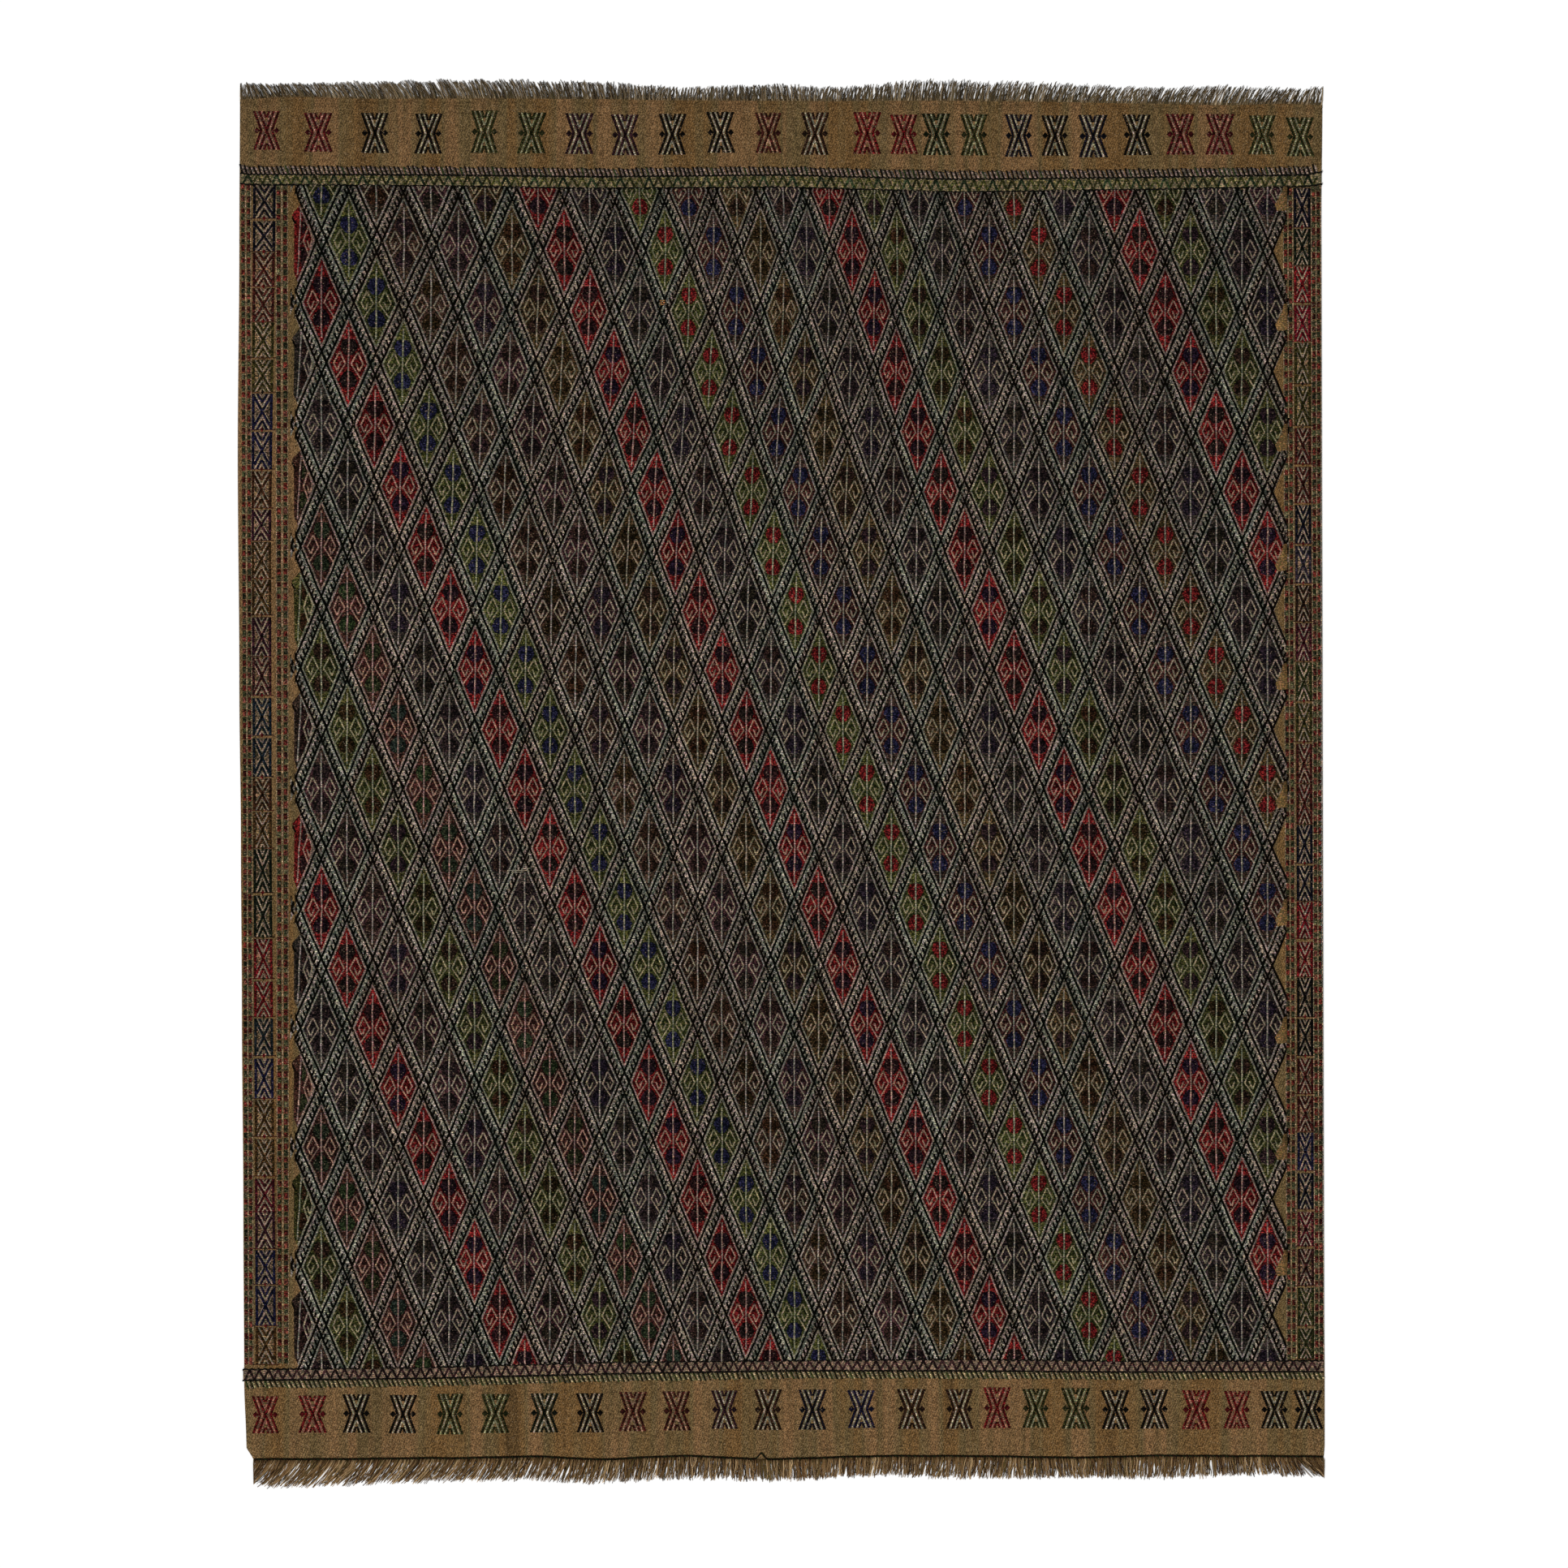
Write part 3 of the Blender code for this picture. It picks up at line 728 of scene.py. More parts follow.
def plain_finish(name):
    """Tan plain weave: streaks of differing dye run with the warp, and the grain leans like a fine twill."""
    finish = Finish(name, 0.93)
    where = finish.node("ShaderNodeTexCoord").outputs["Object"]
    cloth_map = finish.node("ShaderNodeUVMap", {"uv_map": "weave"}).outputs[0]
    long_streak = finish.node(
        "ShaderNodeTexNoise", (), _0=finish.vector("MULTIPLY", where, (18.0, 0.7, 0.0)), _2=1.0, _3=4.0
    ).outputs[0]
    fine_streak = finish.node(
        "ShaderNodeTexNoise", (), _0=finish.vector("MULTIPLY", where, (190.0, 5.0, 0.0)), _2=1.0, _3=2.0
    ).outputs[0]
    streak = finish.maths("ADD", finish.maths("MULTIPLY", long_streak, 1.6), -0.30)
    ramp = finish.node("ShaderNodeValToRGB", (), _0=streak)
    ramp.color_ramp.elements[0].position = 0.22
    ramp.color_ramp.elements[1].position = 0.78
    for i in range(1, len(TAN_STREAKS) - 1):
        ramp.color_ramp.elements.new(0.22 + 0.56 * i / (len(TAN_STREAKS) - 1))
    for element, colour in zip(ramp.color_ramp.elements, TAN_STREAKS):
        element.color = with_alpha(colour)
    stitch = finish.scatter(stitch_cells(finish, cloth_map, 1.0, 0.42))
    shade = finish.between(finish.maths("POWER", stitch, 1.4), 0.38, 1.88)
    shade = finish.maths("MULTIPLY", shade, finish.between(fine_streak, 0.72, 1.26))
    parts = finish.node("ShaderNodeSeparateXYZ", (), _0=cloth_map)
    slant = finish.maths("SUBTRACT", parts.outputs[0], parts.outputs[1])
    twill = finish.maths("PINGPONG", slant, 1.55)
    shade = finish.maths("MULTIPLY", shade, finish.between(finish.maths("DIVIDE", twill, 1.55), 0.78, 1.24))
    height = finish.node("ShaderNodeSeparateXYZ", (), _0=where).outputs[1]
    shade = finish.maths("MULTIPLY", shade, finish.maths("MULTIPLY_ADD", height, -0.05, 0.96))
    colour = finish.shaded(ramp.outputs[0], shade)
    fleck = finish.scatter(stitch_cells(finish, finish.vector("ADD", cloth_map, (2.7, 1.4, 3.0)), 1.0, 0.4))
    colour = finish.mixed(
        finish.maths("MULTIPLY", finish.maths("GREATER_THAN", fleck, 0.972), 0.5), colour,
        with_alpha(PLAIN_FLECK),
    )
    finish.feed(finish.shader.inputs["Base Color"], colour)
    finish.relief(finish.maths("ADD", finish.maths("MULTIPLY", twill, 0.5), stitch), 0.5, 0.00025)
    return finish.material


def yarn_finish(name, ply_pitch):
    """Spun yarn: its own colour, with painted shade in the grooves between the plies that wind round it."""
    finish = Finish(name, 0.9)
    along = finish.node("ShaderNodeUVMap", {"uv_map": "weave"}).outputs[0]
    yarn = finish.node("ShaderNodeAttribute", {"attribute_name": "yarn"}).outputs["Color"]
    parts = finish.node("ShaderNodeSeparateXYZ", (), _0=along)
    turn = finish.maths("ADD", parts.outputs[0], finish.maths("DIVIDE", parts.outputs[1], ply_pitch))
    ply = finish.maths("MULTIPLY", finish.maths("PINGPONG", finish.maths("MULTIPLY", turn, 2.0), 0.5), 2.0)
    on_object = finish.node("ShaderNodeTexCoord").outputs["Object"]
    fuzz = finish.node("ShaderNodeTexNoise", (), _0=on_object, _2=900.0)
    # Painted shade: the ply grooves darken the colour, on top of a random fuzz of tone.
    shade = finish.maths(
        "MULTIPLY", finish.between(ply, 0.7, 1.12), finish.between(fuzz.outputs[0], 0.6, 1.4)
    )
    finish.feed(finish.shader.inputs["Base Color"], finish.shaded(yarn, shade))
    finish.relief(ply, 0.7, 0.0002)
    return finish.material


# ------------------------------------------------------------------------------------------------------------
# The field
# ------------------------------------------------------------------------------------------------------------
def mirrored(corners, across, along):
    return tuple((x * across, y * along) for x, y in corners)


def diamond_outlines():
    """One diamond of the field, in warps and rows from its middle, as (yarn, corners)."""
    found = []

    def add(yarn, *outlines):
        found.extend((YARN_NUMBER[yarn], outline) for outline in outlines)

    add("base", ((HALF, 0), (0, HALF), (-HALF, 0), (0, -HALF)))
    wide = FILL_TO - TIP_FROM
    right, left = (wide, TIP_FROM), (-wide, -TIP_FROM)
    add("fill", (right, (FILL_TO, 0), (wide, -TIP_FROM), left, (-FILL_TO, 0), (-wide, TIP_FROM)))
    over = (HALF - LINE_AT) / 2.0
    for along in (1, -1):
        add("tips", mirrored(((0, FILL_TO), (-wide, TIP_FROM), (wide, TIP_FROM)), 1, along))
        for across in (1, -1):
            side = (across, along)
            stroke = slanted((-over, HALF - over), (HALF - over, -over), LINE_WIDTH, LINE_BLOCKS)
            add("line" if across == along else "crossing_line", *(mirrored(s, *side) for s in stroke))
            stroke = slanted((0, OUTLINE_AT), (OUTLINE_AT, 0), OUTLINE_WIDTH, 2)
            add("outline", *(mirrored(s, *side) for s in stroke))
            add("eye", mirrored(EYE, *side))
    for across in (1, -1):
        for start, stop in zip(CURL, CURL[1:]):
            add("curl", *(mirrored(s, across, 1) for s in slanted(start, stop, CURL_WIDTH)))
        for i in range(HOOKS_PER_EDGE):
            up = LINE_AT / 2.0 + HOOK_PITCH * (i - (HOOKS_PER_EDGE - 1) / 2.0)
            add("hook", mirrored([(LINE_AT - up + a, up + b) for a, b in HOOK], across, 1))
    add("spine", *slanted((0, SPINE_TO), (0, -SPINE_TO), SPINE_WIDTH, 4))
    add("dot", ((HALF + 1.7, 0), (HALF, 1.4), (HALF - 1.7, 0), (HALF, -1.4)))
    return found


def in_metres(outlines):
    return [(code, [(a * WARP, b * ROW) for a, b in corners]) for code, corners in outlines]


class DiamondTiles:
    """Diamonds cut to the field's edges, each kind made once."""

    def __init__(self):
        self.whole = diamond_outlines()
        self.made = {}
        self.ends = {}

    def end_rows(self, column):
        """The row numbers at which the end lines cross a diamond's left and right corners, at both ends."""
        if column not in self.ends:
            found = []
            for table, rows in ((TOP_LOWER_LINE, (-1.6, 0.6)), (BOTTOM_INNER_LINE, (17.6, 19.8))):
                for side in (-0.5, 0.5):
                    row = np.linspace(*rows, 45) * HALF
                    x, y = field_place(np.full(len(row), (column + side) * 2 * HALF), row)
                    past = y / MM - np.interp(x / MM, *np.transpose(table))
                    found.append(float(np.interp(0.0, past[::-1], row[::-1] / HALF)))
            self.ends[column] = found
        return self.ends[column]

    def tile(self, column, row):
        left, right, top, bottom = self.room(column, row)
        near = min(map(abs, (*top, *bottom))) < HALF + 8
        key = (left, right, column if near or column in (-0.5, 19.0, 19.5) else 0, row if near else 0)
        if key not in self.made:
            ends = []
            for (low, high), up in ((top, 1), (bottom, -1)):
                if min(abs(low), abs(high)) < HALF + 8:
                    slope = (high - low) * ROW / (2 * HALF * WARP)
                    ends.append(((0, (low + high) / 2.0 * ROW, 0), (-slope * up, up, 0)))
            cut = list(ends)
            limits = [(limit, side) for limit, side in ((right, 1), (left, -1)) if abs(limit) < HALF + 8]
            cut += [((limit * WARP, 0, 0), (side, 0, 0)) for limit, side in limits]
            if column == -0.5:
                self.made[key] = self.left_half(cut, ends)
            elif column in (-1.0, 19.5):
                self.made[key] = [slabs(in_metres(self.band(-1 if column < 0 else 1)), cut)]
            else:
                corner = [(YARN_NUMBER["corner"], CORNER)] if column == 19.0 else []
                self.made[key] = [slabs(in_metres(self.whole + corner), cut)]
        return self.made[key]

    def band(self, side):
        """Only the lattice's own bands, on one side of the diamond."""
        kept = {YARN_NUMBER[n] for n in ("line", "crossing_line", "hook", "dot")}
        inner = OUTLINE_AT + 1.1
        strip = ((-inner, 0), (-HALF, 0), (0, HALF), (0, inner))
        outlines = [item for item in self.whole if item[0] in kept]
        return outlines + [(YARN_NUMBER["base"], mirrored(strip, side, along)) for along in (1, -1)]

    def left_half(self, cut, ends):
        """The half diamond at the left edge, with its arrow's head and upright band."""
        kept = {YARN_NUMBER[n] for n in ("fill", "tips", "outline")}
        inner = OUTLINE_AT + 1.1
        inside = [(YARN_NUMBER["base"], ((inner, 0), (0, inner), (-inner, 0), (0, -inner)))]
        inside += [item for item in self.whole if item[0] in kept]
        inside += [(YARN_NUMBER["spine"], corners) for corners in slanted(*EDGE_LINE, SPINE_WIDTH, 4)]
        inside += [(YARN_NUMBER["eye"], corners) for corners in EDGE_EYES]
        for start, stop in zip(EDGE_CURL, EDGE_CURL[1:]):
            inside += [(YARN_NUMBER["curl"], corners) for corners in slanted(start, stop, CURL_WIDTH)]
        along_arrow = ((6.2 * WARP, 18.8 * ROW, 0), (-5.3 * ROW, 11.0 * WARP, 0))
        under_band = ((1.5 * WARP, -20.2 * ROW, 0), (-3.6 * ROW, -3.6 * WARP, 0))
        upright = ((-2.0 * WARP, 0, 0), (-1, 0, 0))
        flag = [(YARN_NUMBER["edge"], ARROW), (YARN_NUMBER["edge"], EDGE_BAND), (YARN_NUMBER["hook"], NOTCH)]
        return [
            slabs(in_metres(self.band(-1)), cut),
            slabs(in_metres(inside), [*ends, along_arrow, under_band, upright]),
            slabs(in_metres(flag), ends),
        ]

    def room(self, column, row):
        """How far the diamond may reach left and right in warps, and at its corners up and down in rows."""
        left = {-0.5: -1.3, -1.0: 25.2}.get(column, -99.0)
        right = -8.0 if column == 19.5 else min((LAST_COLUMN - column) * 2 * HALF, 99.0)
        ends = self.end_rows(column)
        top = tuple(min((row - end) * HALF, 99.0) for end in ends[:2])
        bottom = tuple(max((row - end) * HALF, -99.0) for end in ends[2:])
        return left, right, top, bottom


def family_of(column, row):
    place = round(column - row / 2.0 - FIRST_SLANTING_ROW)
    return SLANTING_ROWS[min(max(place, 0), len(SLANTING_ROWS) - 1)]


def unit_colours(column, row, unit):
    """The colours of one diamond's yarns, in the order of YARNS."""
    family = FAMILIES[family_of(column, row)]
    # The base and the light yarns are darker in the top rows and in the right-hand columns.
    top_right_darkening = (0.86 + 0.03 * min(max(row, 0), 6)) * (0.92 if column > 15.0 else 1.0)
    base = linear(BASE_COLOURS[unit % len(BASE_COLOURS)]) * (1.0 + 0.15 * stray(unit, 3)) * top_right_darkening
    black = linear(LINE_COLOURS[(unit * 7) % len(LINE_COLOURS)])
    light = linear(family.light) * top_right_darkening
    drift = 1.0 + 0.25 * stray(unit, 5)
    drifted = EYE_DRIFTS[(unit * 5 + int(row)) % len(EYE_DRIFTS)]
    dark = linear(family.eye if family.eye in (CRIMSON_EYE, NAVY) else drifted)
    colours = {
        "base": base, "fill": linear(family.fill) * drift, "tips": linear(family.tips) * drift,
        "eye": linear(family.eye) * drift * 0.55 + 0.45 * dark, "hook": black, "outline": light,
        "spine": light * 0.98, "curl": light * CURL_TINT, "line": black, "crossing_line": black,
        "dot": black, "edge": linear(family.tips) * drift,
        "corner": linear(CORNER_COLOURS[unit % len(CORNER_COLOURS)]),
    }
    return np.array([[*colours[yarn.name], yarn.grain] for yarn in YARNS])


BAKE_SEGMENTS = 3
BAKE_ROWS = 7  # of diamonds in a segment
SHRINK = 0.74  # a slab's own place in the baking map is drawn in, so that its neighbour's colour stays out


def make_field(material):
    """The strips of the field, from left to right."""
    tiles = DiamondTiles()
    strips = [[] for _ in range(STRIPS)]
    colours, rows_of_unit = [], []
    for row in range(-1, 20):
        columns = [c + 0.5 for c in range(-1, 20)] if row % 2 == 0 else [float(c) for c in range(-1, 20)]
        for column in columns:
            unit = len(colours)
            strip = min(max(int((column + 0.5) // 2), 0), STRIPS - 1)
            for tile in tiles.tile(column, row):
                if len(tile.totals):
                    strips[strip].append(Placed(tile, column * 2 * HALF * WARP, -row * HALF * ROW, unit))
            colours.append(unit_colours(column, row, unit))
            rows_of_unit.append(row)
    colours = np.array(colours)
    rows_of_unit = np.array(rows_of_unit)
    starts = np.array([yarn.start for yarn in YARNS])
    rises = np.array([yarn.rise for yarn in YARNS])
    layers = np.array([yarn.layer for yarn in YARNS])

    def place_of(flat):
        return field_place(flat[:, 0] / WARP, -flat[:, 1] / ROW)

    def colour_of(units, codes, numbers):
        found = colours[units, codes]
        found[:, :3] *= (1.0 + 0.12 * stray(units * 91 + numbers, 2))[:, None]
        return found

    made = []
    for index, placed in enumerate(strips):
        left = (2 * index - 1.2) * 2 * HALF * WARP
        width = 3.2 * 2 * HALF * WARP
        length = (BAKE_ROWS + 1.4) * HALF * ROW

        def bake_of(flat, middles, code, unit):
            """Strips are folded into segments, and lower layers have smaller copies of the same layout."""
            segment = np.clip((rows_of_unit[unit] + 1) // BAKE_ROWS, 0, BAKE_SEGMENTS - 1)
            near = middles + (flat - middles) * np.where(layers[code] == 2, SHRINK, 0.9)[:, None]
            u = near[:, 0] - left + segment * width
            v = -near[:, 1] + (1.2 - segment * BAKE_ROWS) * HALF * ROW
            scale = np.where(layers[code] == 2, 1.0, 0.5)
            u = u * scale + np.where(layers[code] == 2, 0.0, BAKE_SEGMENTS * width)
            v = v * scale + np.where(layers[code] == 1, 0.52 * length, 0.0)
            return np.stack([u, v], axis=1) / (BAKE_SEGMENTS * width * 1.5)

        strip = joined(
            f"brocade_strip_{index + 1}", placed, place_of, starts, rises, colour_of, bake_of, material
        )
        made.append(strip)
    return made


# ------------------------------------------------------------------------------------------------------------
# Pieces drawn straight on the rug: borders, motifs and end lines
# ------------------------------------------------------------------------------------------------------------
class Drawing:
    """Outlines in mm on the rug, each with its colour, its start and its rise."""

    def __init__(self):
        self.outlines, self.colours, self.starts, self.rises = [], [], [], []

    def add(self, colour, outlines, start=1.9, rise=0.5, grain=0.7):
        for outline in outlines:
            self.outlines.append((len(self.outlines), [(x * MM, y * MM) for x, y in outline]))
            self.colours.append((*linear(colour), grain))
            self.starts.append(start)
            self.rises.append(rise)

    def make(self, name, material, folds, fold_along="x"):
        """The drawn slabs as one piece, its baking map folded into this many rows."""
        tile = slabs(self.outlines)
        colours = np.array(self.colours)
        low = np.array(self.starts)
        low_layer = np.array(self.rises) < 0.2

        def bake_of(flat, middles, code, unit):
            axis = 0 if fold_along == "x" else 1
            start, stop = flat[:, axis].min(), flat[:, axis].max()
            part = (stop - start) / folds
            middle = middles[:, axis]
            fold = np.clip(((middle - start) / part).astype(int), 0, folds - 1)
            near = middles + (flat - middles) * SHRINK
            along = (near[:, axis] - start - fold * part) / part * 0.94 + 0.03
            other = near[:, 1 - axis] - flat[:, 1 - axis].min()
            spread = (flat[:, 1 - axis].max() - flat[:, 1 - axis].min()) * 1.02
            rows = folds * 2
            band = fold * 2 + low_layer[code]
            return np.stack([along, (other / spread + band) / rows], axis=1)

        def colour_of(units, codes, numbers):
            found = colours[codes]
            found[:, :3] *= (1.0 + 0.16 * stray(numbers, 4))[:, None]
            return found

        return joined(
            name, [Placed(tile, 0.0, 0.0, 0)], lambda flat: (flat[:, 0], flat[:, 1]),
            low, np.array(self.rises), colour_of, bake_of, material,
        )


def at_height(table, y):
    """The values of a (height, value, ...) table at a height, straight from row to row."""
    rows = sorted(table)
    heights = [row[0] for row in rows]
    return [float(np.interp(y, heights, [row[i] for row in rows])) for i in range(1, len(rows[0]))]


def draw_box(drawing, box, sides):
    """One box of a border: side bars, a cross, and nested angles above and below its middle."""
    colour, knot = NAMED[box.colour], NAMED[box.knot]
    middle, tall = (box.top + box.bottom) / 2.0, (box.top - box.bottom) / 2.0

    def spot(x, y):
        height = middle + y * tall
        left, right = at_height(sides, height)
        return ((left + right) / 2.0 + x * (right - left) / 2.0, height)

    colour, knot = colour * DARKENING, knot * DARKENING
    ground = [spot(-0.98, -1), spot(0.98, -1), spot(0.98, 1), spot(-0.98, 1)]
    drawing.add(colour * 0.2 + np.array(BOX_GROUND) * 0.8, [ground], start=1.9, rise=0.15, grain=1.0)
    beige = np.array(BOX_BEIGE) * (1.0 - 0.10 * abs(stray(box.top, 5)))
    for side in (-1, 1):
        upright = slanted(spot(side * 0.88, 0.98), spot(side * 0.88, -0.98), 4.3, 4)
        drawing.add(colour, upright, rise=0.6, grain=0.8)
        diagonal = slanted(spot(side * -0.80, 0.80), spot(side * 0.80, -0.80), 4.4, 4)
        drawing.add(colour, diagonal, rise=0.65, grain=0.8)
        for up in (-1, 1):
            for start, stop, width, is_dark in BOX_ANGLES:
                outer, inner = spot(side * start[0], up * start[1]), spot(side * stop[0], up * stop[1])
                angle = slanted(outer, inner, width)
                if is_dark:
                    drawing.add(colour, angle, rise=0.55, grain=0.8)
                else:
                    drawing.add(beige, angle, rise=0.45, grain=0.4)
    bar = level(spot(-1.3, -1.0), spot(1.3, -1.0), 1.4)
    drawing.add(colour * 0.5 + 0.5 * np.array(BOX_BAR_RED), bar, rise=0.5)
    drawing.add(knot, [[spot(0.17, -1), spot(0, -0.86), spot(-0.17, -1), spot(0, -1.14)]], rise=0.6)


def make_border(name, boxes, sides, dashes, ribs, material):
    drawing = Drawing()
    for box in boxes:
        draw_box(drawing, box, sides)
    for column, (start, stop, width) in enumerate(dashes):
        length = start[0] - stop[0]
        count = int(length / DASH_LENGTH)
        for i in range(count):
            top = (i + 0.14 * stray(i, 30 + column)) / count
            bottom = (i + 0.90 + 0.14 * stray(i + 1, 30 + column)) / count
            ends = [(start[1] + (stop[1] - start[1]) * s, start[0] - length * s) for s in (top, bottom)]
            colour = np.asarray(DASH_COLOURS[(i + column // 2) % 2]) * (1.0 + 0.3 * stray(i + 57 * column, 9))
            faded = 0.28 * max(0.0, float(stray(i + 31 * column, 10)))
            colour = colour * (1.0 - faded) + np.asarray(DASH_BEIGE) * faded
            drawing.add(colour, slanted(ends[0], ends[1], width), rise=0.45, grain=0.95)
    for start, stop, width in ribs:
        rib = slanted((start[1], start[0]), (stop[1], stop[0]), width, 40)
        drawing.add(DASH_BEIGE, rib, rise=0.35, grain=0.7)
    return drawing.make(name, material, 6, "y")


def draw_motif(drawing, motif, number, reach):
    """One crossed motif of an end band: two bent side bands, a cross, nested angles and two dots."""
    colour = NAMED[motif.colour] * DARKENING
    tint = MOTIF_TINTS.get(motif.colour, MOTIF_TINT)
    wide = 1.275 * (1.0 + 0.05 * stray(number, 1))
    tall = 1.275 * (1.0 + 0.05 * stray(number, 2))
    lean = 0.03 * stray(number, 3)

    def spot(x, y):
        return (motif.x + x * wide + y * tall * lean, motif.y + y * tall)

    def step(start, stop, width=3.5):
        drawing.add(
            colour, stepped(spot(*start), spot(*stop), width * wide, ROW / MM), start=1.7, rise=0.5, grain=0.9
        )

    def thin(start, stop, width=2.1):
        blocks = slanted(spot(*start), spot(*stop), width * wide, 3)
        drawing.add(tint, blocks, start=1.7, rise=0.35, grain=0.7)

    for side in (-1, 1):
        for up in (-1, 1):
            thin((side * 12.2, up * reach), (side * 3.4, 0))
            thin((side * 6.2, up * reach), (0, up * 7.4))
            step((side * 15.6, up * reach), (side * 6.8, 0))
            step((side * 9.2, up * reach), (0, 0))
            step((side * 3.4, up * reach), (side * 0.6, up * 16.5), 2.9)
        dot = [spot(side * 12.4 + x, y) for x, y in ((3.9, 0), (0, 4.2), (-3.9, 0), (0, -4.2))]
        drawing.add(colour * 0.8, [dot], start=1.7, rise=0.5, grain=0.6)


def make_mends(material):
    """A patch of tan stitches put in over the lattice, and a few pale yarns that have worked loose."""
    drawing = Drawing()
    for number in range(9):
        x = MEND[0] + 2.6 * (number % 3 - 1) + 0.7 * float(stray(number, 41))
        y = MEND[1] + 3.0 * (number // 3 - 1)
        drawing.add(MEND_COLOUR, level((x - 1.6, y - 0.3), (x + 1.6, y + 0.3), 1.9), start=2.4, rise=0.6)
    for number, (x, y, far) in enumerate(LOOSE_YARNS):
        rise = 1.4 * float(stray(number, 42))
        drawing.add(LOOSE_COLOUR, level((x, y), (x + far, y + rise), 1.2), start=2.5, rise=0.5, grain=0.4)
    return drawing.make("mends", material, 4)


def make_motifs(name, motifs, shift, reach, material):
    """A row of motifs, each moved along the rug by shift mm and reaching so many units up and down."""
    drawing = Drawing()
    for number, (x, y, colour) in enumerate(motifs):
        draw_motif(drawing, Motif(x, y + shift, colour), number, reach)
    return drawing.make(name, material, 4)


def pairs(stations):
    return list(zip(stations, stations[1:]))


def line_at(table, x):
    return float(np.interp(x, [row[0] for row in table], [row[1] for row in table]))


def draw_line(drawing, table, colour, thick, pitch, scallop):
    """A stitched line across the rug: short stitches, every second one a little raised."""
    x, number = table[0][0], 0
    while x < table[-1][0]:
        ahead = min(x + pitch, table[-1][0])
        lift = scallop * (1 if number % 2 else -1)
        ends = [(x, line_at(table, x) + lift), (ahead, line_at(table, ahead) - lift)]
        shade = np.asarray(colour) * (1.0 + 0.25 * stray(number, 8))
        drawing.add(shade, level(ends[0], ends[1], thick), start=1.75, rise=0.85, grain=0.5)
        x, number = ahead, number + 1


def make_top_lines(material):
    drawing = Drawing()
    x, number = -846.0, 0
    while x < 842.0:
        foot = line_at(TOP_UPPER_LINE, x)
        shade = TOP_TEETH[0] if stray(number, 1) > -0.7 else TOP_TEETH[1]
        head = 13.6 + 1.3 * float(stray(number, 6))
        lean = 4.6 + 0.8 * float(stray(number, 5))
        tooth = slanted((x - lean, foot + head), (x, foot + 0.6), 3.1, 2)
        drawing.add(shade, tooth, start=1.75, rise=0.7, grain=0.6)
        light = np.array(TOP_TOOTH_LIGHT) * (1.0 + 0.1 * stray(number, 7))
        between = slanted((x + 3.6 - lean, foot + head - 1.2), (x + 3.6, foot + 0.8), 3.4, 2)
        drawing.add(light, between, start=1.75, rise=0.5)
        x, number = x + TOOTH_PITCH + 0.5 * float(stray(number, 4)), number + 1
    ground = [
        [(x0, line_at(TOP_LOWER_LINE, x0)), (x1, line_at(TOP_LOWER_LINE, x1)),
         (x1, line_at(TOP_UPPER_LINE, x1)), (x0, line_at(TOP_UPPER_LINE, x0))]
        for x0, x1 in pairs(np.linspace(-849.0, 848.5, 86))
    ]
    drawing.add(TOP_LINES_GROUND, ground, start=1.98, rise=0.15, grain=0.6)
    x, number = -845.0, 0
    half = 7.5
    while x + 2 * half < 848.0:
        low, high = line_at(TOP_LOWER_LINE, x) + 1.0, line_at(TOP_UPPER_LINE, x + half) - 1.0
        shade = np.array(ZIGZAG_OLIVE if number % 3 else ZIGZAG_BOTTLE) * (1.0 + 0.3 * stray(number, 3))
        drawing.add(shade, slanted((x, low), (x + half, high), 4.2, 2), start=2.0, rise=0.4, grain=0.8)
        down = slanted((x + half, high), (x + 2 * half, low), 4.2, 2)
        drawing.add(shade, down, start=2.0, rise=0.45, grain=0.8)
        middle = (x + 2 * half, (low + high) / 2.0 + 4.0)
        kernel = [(middle[0] + aside, middle[1] + up) for aside, up in ((-2.4, 2.6), (0.0, -3.4), (2.4, 2.6))]
        drawing.add(KERNEL_COLOUR, [kernel], start=2.0, rise=0.35)
        x, number = x + 2 * half, number + 1
    last = slanted((x, low), (x + half * 0.8, low + 0.8 * (high - low)), 4.2, 2)
    drawing.add(ZIGZAG_OLIVE, last, start=2.0, rise=0.4)
    draw_line(drawing, TOP_UPPER_LINE, (11, 12, 10), 2.7, 3.7, 0.7)
    draw_line(drawing, TOP_LOWER_LINE, (11, 12, 10), 2.8, 5.0, 0.7)
    return drawing.make("end_lines_top", material, 4)


